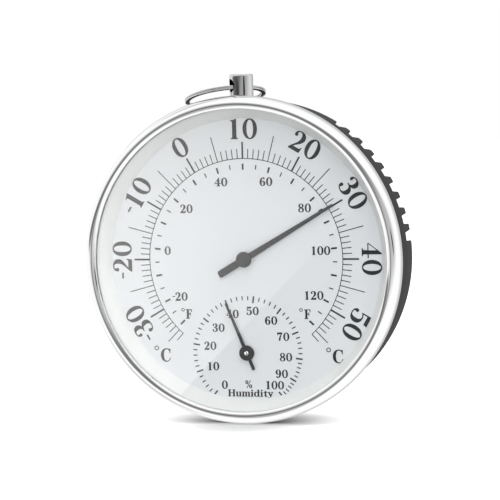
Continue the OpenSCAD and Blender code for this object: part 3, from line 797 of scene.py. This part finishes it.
def makeDialPlate():
    look = dialLook
    hole, holePoints = look["arborHole"], look["holePoints"]
    loops = [circlePoints(0, look["plateRadius"], look["platePoints"]), circlePoints(0, hole, holePoints),
             circlePoints(-pivotDrop, hole, holePoints)]
    place = dialTurn @ Matrix.Translation((0, 0, heights["dialFace"] - look["thickness"] / 2))
    plate = outlinePiece("dialPlate", loops, look["thickness"], place, finishes["dial"])
    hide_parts("dial_plate")
    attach(plate, "case")


def tickTree():
    # flat marks of one kind
    tree, given, result = growTree("tickRow", Int=["Count"], Float=[
        "First Angle", "Pitch", "Inner Radius", "Outer Radius", "Width", "Thickness"],
        Vector=["Centre"], Material=["Ink"])
    inner, outer = given["Inner Radius"], given["Outer Radius"]
    mark = boxNode(tree, (given["Width"], given["Thickness"], maths(tree, "SUBTRACT", outer, inner)),
                   (0, 0, maths(tree, "MULTIPLY", maths(tree, "ADD", outer, inner), 0.5)))
    row = rowAbout(tree, mark, given["Count"], given["First Angle"], given["Pitch"], given["Centre"])
    endTree(tree, result, row, given["Ink"])
    return tree


def arcTree():
    # the thin line on which a scale's marks stand
    tree, given, result = growTree("scaleArc", Float=["Radius", "Half Sweep", "Width", "Thickness", "Height"],
                                   Material=["Ink"])
    half = given["Half Sweep"]
    line = sweptArc(tree, given["Radius"], maths(tree, "SUBTRACT", math.radians(90), half),
                    maths(tree, "MULTIPLY", half, 2.0), dialLook["arcSteps"],
                    (given["Width"], given["Thickness"]), maths(tree, "MULTIPLY", given["Height"], -1.0))
    endTree(tree, result, line, given["Ink"])
    return tree


# rows of marks: first angle, pitch, count, inner radius, outer radius, width, all in degrees and mm
arcR = radii["scaleArc"]
celsiusRows = [(-138, 3, 93, arcR, arcR + 3.05, 0.29), (-120, 30, 9, arcR, arcR + 5.2, 0.54),
               (-105, 30, 8, arcR + 3.0, arcR + 8.15, 0.3), (-135, 270, 2, arcR + 3.0, arcR + 5.4, 0.3)]
fahrenheitRows = [(-133.33, 16.667, 17, 27.9, 29.8, 0.58), (-125.0, 16.667, 16, 28.2, 29.65, 0.36)]
humidityStops = [-139.9, -110.5, -81.4, -52.7, -22.7, 7.8, 38.8, 68.1, 96.0, 119.8, 140.9]
humidityRows = [(a, 0, 1, 15.7, 17.9, 0.5) for a in humidityStops]
humidityRows += [(a + (b - a) / 5, (b - a) / 5, 4, 16.5, 17.8, 0.36)
                 for a, b in zip(humidityStops, humidityStops[1:])]


def printPiece(piece):
    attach(piece, "case")


def makeMarks(name, tree, rows, drop):
    parts = []
    for first, pitch, count, inner, outer, width in rows:
        values = {"Count": count, "First Angle": math.radians(first), "Pitch": math.radians(pitch),
                  "Inner Radius": inner * mm, "Outer Radius": outer * mm, "Width": width * mm,
                  "Centre": onDial(0, -drop, inkHeight), "Thickness": inkDepth * mm, "Ink": finishes["ink"]}
        parts.append(grownPiece(name + str(len(parts)), tree, values))
    return mergePieces(name, parts, "ink")


def mergePieces(name, parts, finish):
    bm = bmesh.new()
    for part in parts:
        bm.from_mesh(part.data)
        bpy.data.objects.remove(part)
    return linkPiece(name, meshFrom(name, bm), finishes[finish])


# Letter and figure outlines of a high-contrast serif face, drawn for this dial. The number is the advance,
# and a unit is a thousandth of a figure's height. M starts a loop, L is a line, C a curve, Z closes it.
figures = {
    "0": (830, "M415 1010C595 1010 785 840 785 500C785 160 595 -10 415 -10C235 -10 45 160 45 500C45 840"
        " 235 1010 415 1010ZM415 950C320 950 240 800 240 500C240 200 320 50 415 50C510 50 590 200 590"
        " 500C590 800 510 950 415 950Z"),
    "1": (830, "M255 0L620 0L620 42C560 52 545 75 545 130L545 1000L500 1000C430 955 330 935 235 930L235"
        " 890C320 890 335 870 335 800L335 130C335 75 320 52 255 42Z"),
    "2": (830, "M90 0L700 0L740 290L700 290C680 205 650 185 560 185L290 185C340 270 450 330 540 410C650"
        " 500 720 600 720 725C720 895 590 1010 385 1010C215 1010 105 910 105 790C105 730 140 690 190"
        " 690C240 690 275 725 275 770C275 815 235 835 235 870C235 920 290 955 350 955C450 955 500 870 500"
        " 730C500 590 440 480 320 340C240 250 160 150 90 45Z"),
    "3": (830, "M115 795C115 915 225 1010 400 1010C580 1010 700 915 700 765C700 645 625 570 505 530C655"
        " 500 750 405 750 270C750 100 605 -10 395 -10C205 -10 80 85 80 215C80 270 115 305 165 305C215 305"
        " 250 270 250 225C250 175 212 158 212 122C212 75 285 42 365 42C470 42 525 125 525 270C525 425 460"
        " 502 345 502L270 502L270 552L335 552C430 552 480 630 480 765C480 895 440 957 355 957C290 957 235"
        " 920 235 880C235 850 265 835 265 790C265 750 235 718 192 718C147 718 115 750 115 795Z"),
    "4": (830, "M600 1000L545 1000L50 345L50 290L400 290L400 130C400 72 380 52 305 42L305 0L690 0L690"
        " 42C615 52 600 72 600 130L600 290L790 290L790 345L600 345ZM400 345L400 735L108 345Z"),
    "5": (830, "M150 1000L690 1000L650 815L210 815L210 575C265 620 335 640 410 640C610 640 755 515 755"
        " 325C755 125 605 -10 390 -10C200 -10 80 80 80 205C80 260 115 297 165 297C215 297 250 262 250"
        " 217C250 170 212 152 212 120C212 75 290 42 370 42C480 42 535 135 535 310C535 500 470 578 370"
        " 578C300 578 235 545 190 490L150 490Z"),
    "6": (830, "M430 -10C625 -10 755 125 755 315C755 490 645 605 480 605C405 605 345 585 300 540C310 770"
        " 390 925 510 950C545 950 560 935 545 905C535 885 530 870 530 850C530 808 562 780 605 780C652 780"
        " 685 812 685 862C685 945 610 1010 500 1010C255 1010 75 775 75 440C75 165 215 -10 430 -10ZM425"
        " 42C340 42 298 135 298 300C298 465 340 548 420 548C500 548 545 465 545 300C545 125 505 42 425 42Z"),
    "7": (830, "M110 1000L110 690L150 690C165 780 195 815 275 815L600 815C430 610 315 350 295 90C290 25"
        " 325 -10 385 -10C450 -10 480 25 485 95C500 420 590 700 745 945L745 1000Z"),
    "8": (830, "M415 -10C620 -10 755 90 755 250C755 380 680 470 545 535C655 590 715 660 715 765C715 915"
        " 595 1010 415 1010C235 1010 115 910 115 760C115 645 180 560 300 500C155 440 75 355 75 240C75 90"
        " 210 -10 415 -10ZM425 957C515 957 550 880 550 770C550 680 515 605 445 570C345 615 280 680 280"
        " 785C280 895 335 957 425 957ZM405 42C295 42 240 125 240 240C240 345 290 415 385 465C510 405 575"
        " 335 575 225C575 110 510 42 405 42Z"),
    "-": (260, "M10 455L290 455L290 535L10 535Z"),
    "o": (460, "M230 1000C330 1000 410 920 410 820C410 720 330 640 230 640C130 640 50 720 50 820C50 920"
        " 130 1000 230 1000ZM230 950C155 950 100 895 100 820C100 745 155 690 230 690C305 690 360 745 360"
        " 820C360 895 305 950 230 950Z"),
    "C": (860, "M800 985L765 985C750 960 725 955 690 970C630 1000 560 1015 490 1015C220 1015 40 800 40"
        " 500C40 200 215 -15 485 -15C665 -15 785 90 825 290L785 300C745 135 645 45 515 45C350 45 265 200"
        " 265 500C265 800 355 955 515 955C650 955 740 850 765 665L800 665Z"),
    "F": (760, "M40 0L470 0L470 42C390 52 365 70 365 135L365 485L410 485C490 485 515 450 530 350L565"
        " 350L565 670L530 670C515 575 490 537 410 537L365 537L365 948L490 948C610 948 650 890 675 720L715"
        " 720L700 1000L40 1000L40 958C130 948 155 930 155 865L155 135C155 70 130 52 40 42Z"),
    "%": (980, "M240 1010C350 1010 430 920 430 770C430 620 350 530 240 530C130 530 50 620 50 770C50 920"
        " 130 1010 240 1010ZM240 965C195 965 170 900 170 770C170 640 195 575 240 575C285 575 310 640 310"
        " 770C310 900 285 965 240 965ZM740 470C850 470 930 380 930 230C930 80 850 -10 740 -10C630 -10 550"
        " 80 550 230C550 380 630 470 740 470ZM740 425C695 425 670 360 670 230C670 100 695 35 740 35C785 35"
        " 810 100 810 230C810 360 785 425 740 425ZM700 1000L765 1000L285 0L220 0Z"),
    "H": (1040, "M40 0L420 0L420 45L330 60L330 480L710 480L710 60L620 45L620 0L1000 0L1000 45L910 60L910"
        " 940L1000 955L1000 1000L620 1000L620 955L710 940L710 535L330 535L330 940L420 955L420 1000L40"
        " 1000L40 955L130 940L130 60L40 45Z"),
    "u": (820, "M30 690L290 690L290 190C290 90 330 55 400 55C470 55 530 100 530 190L530 640L450 650L450"
        " 690L710 690L710 60L790 45L790 0L540 0L540 90C500 25 430 -15 345 -15C200 -15 110 60 110 200L110"
        " 640L30 650Z"),
    "m": (1180, "M30 0L370 0L370 45L300 60L300 480C300 580 345 635 415 635C475 635 500 590 500 500L500"
        " 60L430 45L430 0L750 0L750 45L680 60L680 480C680 580 730 635 800 635C860 635 885 590 885 500L885"
        " 60L815 45L815 0L1150 0L1150 45L1070 60L1070 510C1070 640 990 705 875 705C780 705 710 660 665"
        " 585C645 665 580 705 490 705C405 705 335 665 295 595L295 690L30 690L30 650L115 640L115 60L30 45Z"),
    "i": (430, "M40 0L395 0L395 45L310 60L310 690L40 690L40 650L125 640L125 60L40 45ZM215 820C275 820 320"
        " 865 320 920C320 975 275 1020 215 1020C155 1020 110 975 110 920C110 865 155 820 215 820Z"),
    "d": (850, "M340 705C425 705 490 670 530 610L530 945L440 955L440 1000L720 1000L720 60L810 45L810"
        " 0L540 0L540 85C500 20 430 -15 340 -15C160 -15 40 130 40 345C40 560 160 705 340 705ZM385 640C290"
        " 640 240 540 240 345C240 150 290 50 385 50C480 50 530 150 530 345C530 540 480 640 385 640Z"),
    "t": (560, "M520 110C490 80 465 65 430 65C385 65 370 95 370 160L370 630L520 630L520 690L370 690L370"
        " 900L320 900C300 790 200 700 50 680L50 630L185 630L185 170C185 45 250 -15 355 -15C440 -15 505 15"
        " 545 70Z"),
    "y": (790, "M30 690L370 690L370 650L295 635L450 240L590 635L505 650L505 690L770 690L770 650L690"
        " 635L440 -80C390 -220 310 -290 190 -290C100 -290 45 -240 45 -175C45 -115 85 -80 135 -80C190 -80"
        " 225 -115 220 -165C220 -200 235 -215 265 -205C310 -190 345 -140 370 -60L385 -10L105 635L30 650Z"),
}


def wordsOf(text):
    return re.findall("[MLCZ]|-?[0-9]+", text)


def readLoops(text):
    # loops of [left handle, point, right handle], where None marks the end of a straight side
    loops, words, i = [], wordsOf(text), 0
    while i < len(words):
        word = words[i]
        count = {"M": 2, "L": 2, "C": 6, "Z": 0}[word]
        n = [float(w) for w in words[i + 1:i + 1 + count]]
        if word == "M":
            loops.append([[None, (n[0], n[1]), None]])
        elif word == "L":
            loops[-1].append([None, (n[0], n[1]), None])
        elif word == "C":
            loops[-1][-1][2] = (n[0], n[1])
            loops[-1].append([(n[2], n[3]), (n[4], n[5]), None])
        elif loops[-1][-1][1] == loops[-1][0][1]:
            loops[-1][0][0] = loops[-1].pop()[0]
        i += 1 + count
    return loops


def turnedOver(advance, text):
    # a 6 turned upside down is the 9
    pairs, half = [], None
    for word in wordsOf(text):
        if word in "MLCZ":
            pairs.append(word)
        elif half is None:
            half = word
        else:
            pairs += ["%g" % (advance - float(half)), "%g" % (figureHeight - float(word))]
            half = None
    return advance, " ".join(pairs)


def evenTurns(loops):
    # outer loops run anticlockwise and holes clockwise, so that one offset makes all the strokes bolder
    shapes = [[knot[1] for knot in loop] for loop in loops]
    for loop, shape in zip(loops, shapes):
        area = sum(a[0] * b[1] - b[0] * a[1] for a, b in zip(shape, shape[1:] + shape[:1]))
        x, y = shape[0]
        inside = 0
        for other in shapes:
            if other is not shape:
                crossings = [(b[0] - a[0]) * (y - a[1]) / (b[1] - a[1]) + a[0]
                             for a, b in zip(other, other[1:] + other[:1]) if (a[1] > y) != (b[1] > y)]
                inside += sum(1 for cut in crossings if cut > x) % 2
        if (area > 0) == (inside % 2 == 1):
            loop.reverse()
            for knot in loop:
                knot[0], knot[2] = knot[2], knot[0]
    return loops


figureHeight = 1000
figures["9"] = turnedOver(*figures["6"])
figureLoops = {mark: evenTurns(readLoops(text)) for mark, (advance, text) in figures.items()}


def layText(curve, text, centre, size, turn=0.0, spread=1.0):
    # text centred on a point of the dial, in mm, turned clockwise, its letters widened by the spread
    scale = size / figureHeight
    width = sum(figures[mark][0] for mark in text) * scale * spread
    c, s = math.cos(math.radians(turn)), math.sin(math.radians(turn))
    start = -width / 2
    for mark in text:
        for loop in figureLoops[mark]:
            spline = curve.splines.new("BEZIER")
            spline.bezier_points.add(len(loop) - 1)
            spline.resolution_u = printLook["largeSteps" if size > printLook["largeFrom"] else "smallSteps"]

            def put(point):
                x, y = start + point[0] * scale * spread, (point[1] - figureHeight / 2) * scale
                return centre[0] + x * c + y * s, centre[1] - x * s + y * c, 0

            for knot, (left, point, right) in zip(spline.bezier_points, loop):
                knot.handle_left_type = "FREE" if left else "VECTOR"
                knot.handle_right_type = "FREE" if right else "VECTOR"
                knot.co = put(point)
                if left:
                    knot.handle_left = put(left)
                if right:
                    knot.handle_right = put(right)
            spline.use_cyclic_u = True
        start += figures[mark][0] * scale * spread


# heights of the figures, the gap under the large ones and how much bolder the strokes are, in mm
printLook = {"celsiusSize": 6.28, "celsiusGap": 6.08, "fahrenheitSize": 2.62, "humiditySize": 2.55,
             "celsiusBolder": 0.03, "bolder": 0.05, "largeFrom": 4, "largeSteps": 6, "smallSteps": 4}
# text and its centre in mm
fahrenheitText = [("-20", (-21.64, -11.71)), ("0", (-25.37, 2.77)), ("20", (-18.84, 15.90)),
                  ("40", (-7.22, 24.16)), ("60", (7.35, 24.10)), ("80", (19.55, 15.84)),
                  ("100", (24.30, 2.63)), ("120", (21.79, -11.26))]
humidityText = [("0", (-7.72, -39.46)), ("10", (-11.44, -33.64)), ("20", (-12.20, -27.20)),
                ("30", (-9.33, -21.49)), ("40", (-4.57, -17.11)), ("50", (1.94, -16.17)),
                ("60", (7.88, -19.14)), ("70", (11.65, -24.16)), ("80", (12.40, -30.57)),
                ("90", (10.91, -35.79)), ("100", (8.49, -39.38))]
# text, centre, height, and for the label its turn and spread
unitText = [("C", (-27.0, -30.27), 4.1), ("C", (29.12, -30.17), 4.1), ("F", (-18.92, -17.2), 2.9),
            ("F", (19.68, -17.11), 2.9), ("o", (-29.95, -29.3), 3.9), ("o", (26.18, -29.4), 3.9),
            ("o", (-20.86, -16.8), 2.9), ("o", (17.64, -16.7), 2.9)]
percentText = ("%", (0.10, -39.21), 2.4)
humidityLabel = ("Humidity", (0.65, -42.0), 2.1, 0.0, 1.16)


def makeTextPiece(name, lines, bolder):
    curve = startCurve(name, inkDepth)
    curve.offset = bolder
    for line in lines:
        layText(curve, *line)
    printPiece(curvePiece(name, curve, dialTurn @ Matrix.Translation((0, 0, inkHeight)), finishes["ink"]))


def celsiusText():
    # the large figures stand on the scale's radii, one for every ten degrees
    size = printLook["celsiusSize"]
    r = arcR + printLook["celsiusGap"] + size / 2
    turns = [(value, (value - 10) * 3) for value in range(-30, 51, 10)]
    return [(str(value), (r * math.sin(math.radians(turn)), r * math.cos(math.radians(turn))), size, turn)
            for value, turn in turns]


def makePrint():
    look = dialLook
    ticks = tickTree()
    printPiece(makeMarks("celsiusMarks", ticks, celsiusRows, 0))
    printPiece(makeMarks("fahrenheitMarks", ticks, fahrenheitRows, 0))
    printPiece(makeMarks("humidityMarks", ticks, humidityRows, pivotDrop))
    printPiece(grownPiece("celsiusArc", arcTree(), {
        "Radius": (arcR + look["arcShift"]) * mm, "Half Sweep": math.radians(look["arcHalfSweep"]),
        "Width": look["arcWidth"] * mm, "Thickness": (inkDepth + look["arcRise"]) * mm,
        "Height": inkHeight * mm, "Ink": finishes["ink"]}))
    small, fine, bolder = printLook["fahrenheitSize"], printLook["humiditySize"], printLook["bolder"]
    makeTextPiece("celsiusFigures", celsiusText(), printLook["celsiusBolder"])
    makeTextPiece("fahrenheitFigures", [(text, at, small) for text, at in fahrenheitText], bolder)
    makeTextPiece("humidityFigures", [(text, at, fine) for text, at in humidityText] + [percentText], bolder)
    makeTextPiece("unitLetters", unitText, bolder)
    makeTextPiece("humidityWord", [humidityLabel], bolder)


makeDialPlate()
makePrint()
print("dial and print made")


# Pointers

temperatureLook = {"height": 18.5, "thickness": 0.3, "edge": 0.05, "length": 33.4, "tail": 9.7,
                   "rootWidth": 2.0, "tipWidth": 0.9, "tailWidth": 2.3, "tailCorner": 0.6,
                   "capRadius": 2.45, "capHeight": 0.8, "capFoot": 0.12, "capRound": 0.25, "capRing": 1.1,
                   "capTurns": 96, "shadeAngle": 30}
humidityLook = {"height": 18.3, "thickness": 0.3, "edge": 0.04, "length": 16.9, "tail": 5.7,
                "rootWidth": 1.15, "tipWidth": 0.7, "tailWidth": 0.95,
                "hubRadius": 2.4, "hubHeight": 0.6, "hubFoot": 0.1, "hubRound": 0.2, "hubBore": 0.76,
                "hubMouth": 0.95, "hubDish": 0.12, "hubTurns": 96, "shadeAngle": 30,
                "pinRadius": 0.75, "pinTop": 19.2, "pinBottom": 6.1, "pinFoot": 0.1, "pinRound": 0.3,
                "pinTurns": 48}


def bladePiece(name, outline, look, centre, reading, finish):
    h, thick = look["height"], look["thickness"]
    turn = Matrix.Rotation(math.radians(-reading), 4, "Z")
    place = dialTurn @ centre @ Matrix.Translation((0, 0, h + thick / 2)) @ turn
    return outlinePiece(name, [outline], thick, place, finishes[finish], look["edge"])


def makeTemperaturePointer():
    look = temperatureLook
    root, tip, tail = look["rootWidth"], look["tipWidth"], look["tailWidth"]
    outline = [(root / 2, 0)] + arcPoints(0, look["length"] - tip / 2, tip / 2, 0, 180, 8)
    c = look["tailCorner"]
    outline += [(-root / 2, 0), (-tail / 2, 0)] + arcPoints(c - tail / 2, c - look["tail"], c, 180, 270, 5)
    outline += arcPoints(tail / 2 - c, c - look["tail"], c, 270, 360, 5) + [(tail / 2, 0)]
    blade = bladePiece("temperatureBlade", outline, look, Matrix.Identity(4), readings["temperature"],
                       "greyPointer")
    low = look["height"] + look["thickness"]
    r, top, foot, bend = look["capRadius"], low + look["capHeight"], look["capFoot"], look["capRound"]
    cap = [(0, low), (r - foot, low), (r, low + foot)] + arcPoints(r - bend, top - bend, bend, 0, 90, 5)
    cap += [(r - look["capRing"], top), (0, top)]
    disc = turnedPiece("temperatureCap", cap, dialTurn, look["capTurns"], "greyPointer", look["shadeAngle"])
    for piece, node in ((blade, "temperature_pointer"), (disc, "temperature_pointer_cap")):
        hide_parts(node)
        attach(piece, "temperature_needle")


def makeHumidityPointer():
    look = humidityLook
    root, tip, tail = look["rootWidth"] / 2, look["tipWidth"] / 2, look["tailWidth"] / 2
    long, short = look["length"], look["tail"]
    outline = [(-root, 0), (-tip, long), (tip, long), (root, 0), (tail, 0), (tail, -short), (-tail, -short),
               (-tail, 0)]
    centre, degrees = Matrix.Translation((0, -pivotDrop, 0)), look["shadeAngle"]
    blade = bladePiece("humidityBlade", outline, look, centre, readings["humidity"], "blackPointer")
    r, h, foot, bend = look["hubRadius"], look["height"], look["hubFoot"], look["hubRound"]
    top = h + look["hubHeight"]
    hub = [(look["hubBore"], h), (r - foot, h), (r, h + foot)]
    hub += arcPoints(r - bend, top - bend, bend, 0, 90, 4)
    hub += [(look["hubMouth"], top), (look["hubBore"], top - look["hubDish"])]
    disc = turnedPiece("humidityHub", hub, dialTurn @ centre, look["hubTurns"], "blackPointer", degrees)
    joined = mergePieces("humidityPointer", [blade, disc], "blackPointer")
    shadeByAngle(joined.data, degrees)
    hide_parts("humidity_pointer")
    p, low, end = look["pinRadius"], look["pinBottom"], look["pinTop"]
    foot, bend = look["pinFoot"], look["pinRound"]
    pin = [(0, low), (p - foot, low), (p, low + foot)] + arcPoints(p - bend, end - bend, bend, 0, 90, 5)
    arbor = turnedPiece("humidityArbor", pin + [(0, end)], dialTurn @ centre, look["pinTurns"], "arborSteel",
                        degrees)
    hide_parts("humidity_arbor")
    for piece in (joined, arbor):
        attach(piece, "humidity_needle")


makeTemperaturePointer()
makeHumidityPointer()
print("pointers made")


# Hanger

studLook = {"radius": 3.7, "seat": 49.3, "top": 57.5, "edge": 0.6, "foot": 0.15, "shank": 1.6,
            "rivet": 2.6, "rivetHeights": (47.25, 47.95), "rivetEdge": 0.25, "turns": 96,
            "shadeAngle": 32}
# the cross hole opens a little at both mouths, as a drilled and polished hole does
holeLook = {"radius": 1.95, "height": 53.95, "turn": 40, "flareStart": 3.15, "flareRadius": 0.9,
            "cutterEnd": 4.6, "cutterWidening": 1.6, "turns": 64}
ringLook = {"radius": 12.1, "wireWidth": 1.4, "wireThickness": 0.55, "corner": 0.16, "slot": 0.08, "fall": 14,
            "sag": 0.55, "slip": 0.8, "climb": 24, "climbTurn": 110, "steps": 120,
            "shadeAngle": 32}


def makeStud():
    look, hole = studLook, holeLook
    r, top, edge, low, foot = look["radius"], look["top"], look["edge"], look["seat"], look["foot"]
    rivet, bend = look["rivet"], look["rivetEdge"]
    base, mid = look["rivetHeights"]
    outline = [(0, base), (rivet - bend, base), (rivet, base + bend), (rivet, mid),
               (look["shank"], mid), (look["shank"], low), (r - foot, low), (r, low + foot)]
    outline += arcPoints(r - edge, top - edge, edge, 0, 90, 8) + [(0, top)]
    place = Matrix.Translation((0, -heights["stud"], 0))
    stud = turnedPiece("hangerStud", outline, place, look["turns"], "hanger", look["shadeAngle"])
    flare, end = hole["flareRadius"], hole["cutterEnd"]
    right = arcPoints(hole["flareStart"], hole["radius"] + flare, flare, 270, 330, 6)
    right += [(end, hole["radius"] + hole["cutterWidening"])]
    cutterLine = [(y, x) for x, y in [(-x, y) for x, y in reversed(right)] + right]
    cutterLine = [(0, -end)] + cutterLine + [(0, end)]
    turn = Matrix.Rotation(math.radians(hole["turn"]), 4, "Z") @ Matrix.Rotation(math.radians(90), 4, "Y")
    spot = Matrix.Translation((0, -heights["stud"], hole["height"]))
    cutter = cutWith(stud, "crossHole", turnedMesh("crossHole", cutterLine, spot @ turn, hole["turns"]))
    settle(stud)
    shadeByAngle(stud.data, look["shadeAngle"])
    bpy.data.objects.remove(cutter)
    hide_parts("hanger_stud")
    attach(stud, "case")


def ringTree():
    # flat wire wound twice about z: it climbs by one wire and the slot between its two coils
    tree, given, result = growTree("splitRing", Float=[
        "Radius", "Climb", "Rise", "Wire Width", "Wire Thickness", "Corner"], Material=["Metal"])
    calc = partial(maths, tree)
    turns = calc("SUBTRACT", 2.0, calc("DIVIDE", given["Climb"], math.radians(360)))
    halfClimb = calc("DIVIDE", calc("DIVIDE", given["Climb"], math.radians(720)), turns)
    spiral = addNode(tree, "GeometryNodeCurveSpiral", {
        "Resolution": ringLook["steps"], "Height": 0.0, "Rotations": turns, "Start Radius": given["Radius"],
        "End Radius": given["Radius"]})
    climb = addNode(tree, "ShaderNodeMapRange", {
        "Value": addNode(tree, "GeometryNodeSplineParameter").outputs["Factor"],
        "From Min": calc("SUBTRACT", 0.5, halfClimb), "From Max": calc("ADD", 0.5, halfClimb),
        "To Min": calc("MULTIPLY", given["Rise"], -0.5), "To Max": calc("MULTIPLY", given["Rise"], 0.5)},
        interpolation_type="SMOOTHSTEP")
    wind = addNode(tree, "GeometryNodeSetPosition", {
        "Geometry": spiral, "Offset": combine(tree, 0, 0, climb)})
    level = addNode(tree, "GeometryNodeSetCurveNormal", {"Curve": wind}, mode="Z_UP")
    section = addNode(tree, "GeometryNodeCurvePrimitiveQuadrilateral", {
        "Width": given["Wire Width"], "Height": given["Wire Thickness"]})
    corner = addNode(tree, "GeometryNodeFilletCurve", {
        "Curve": section, "Radius": given["Corner"], "Count": 3}, mode="POLY")
    sweep = addNode(tree, "GeometryNodeCurveToMesh", {
        "Curve": level, "Profile Curve": corner, "Fill Caps": True})
    endTree(tree, result, sweep, given["Metal"])
    return tree


def makeRing():
    look, hole = ringLook, holeLook
    ring = grownPiece("splitRing", ringTree(), {
        "Radius": look["radius"] * mm, "Climb": math.radians(look["climb"]),
        "Rise": (look["wireThickness"] + look["slot"]) * mm, "Wire Width": look["wireWidth"] * mm,
        "Wire Thickness": look["wireThickness"] * mm, "Corner": look["corner"] * mm,
        "Metal": finishes["hanger"]})
    bow = (studLook["radius"] + look["slip"]) ** 2 / (4 * look["radius"])
    place = Matrix.Translation((0, -heights["stud"], hole["height"]))
    place @= Matrix.Rotation(math.radians(hole["turn"]), 4, "Z")
    place @= Matrix.Rotation(math.radians(-look["fall"]), 4, "X")
    place @= Matrix.Translation((-look["slip"], look["radius"] - bow, -look["sag"]))
    place @= Matrix.Rotation(math.radians(look["climbTurn"] + look["climb"] / 2), 4, "Z")
    place.translation *= mm
    ring.data.transform(place)
    closeMesh(ring.data)
    shadeByAngle(ring.data, look["shadeAngle"])
    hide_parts("hanging_ring")
    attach(ring, "ring")


makeStud()
makeRing()
print("hanger made")


# Inner pieces keep their shapes and take finishes

innerFinishes = {
    "rubber": ["lens_gasket"],
    "zinc": ["movement_plate"],
    "screwSteel": ["movement_plate_screws", "thermometer_bridge_screws", "hygrometer_bridge_screws",
                   "hanger_washer"],
    "bridgeBrass": ["thermometer_bridge", "hygrometer_bridge"],
    "brass": ["thermometer_front_bush", "thermometer_rear_bush", "temperature_collet",
              "hygrometer_front_bush", "hygrometer_rear_bush", "humidity_collet"],
    "arborSteel": ["thermometer_coil_post", "temperature_arbor", "hygrometer_coil_post"],
    "bimetal": ["thermometer_coil"],
    "humidityStrip": ["hygrometer_coil"]}
for finish, nodes in innerFinishes.items():
    for node in nodes:
        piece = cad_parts[node]
        if not piece.material_slots:
            piece.data.materials.append(None)
        for slot in piece.material_slots:
            slot.material = finishes[finish]
print("inner pieces finished:", sum(len(nodes) for nodes in innerFinishes.values()))
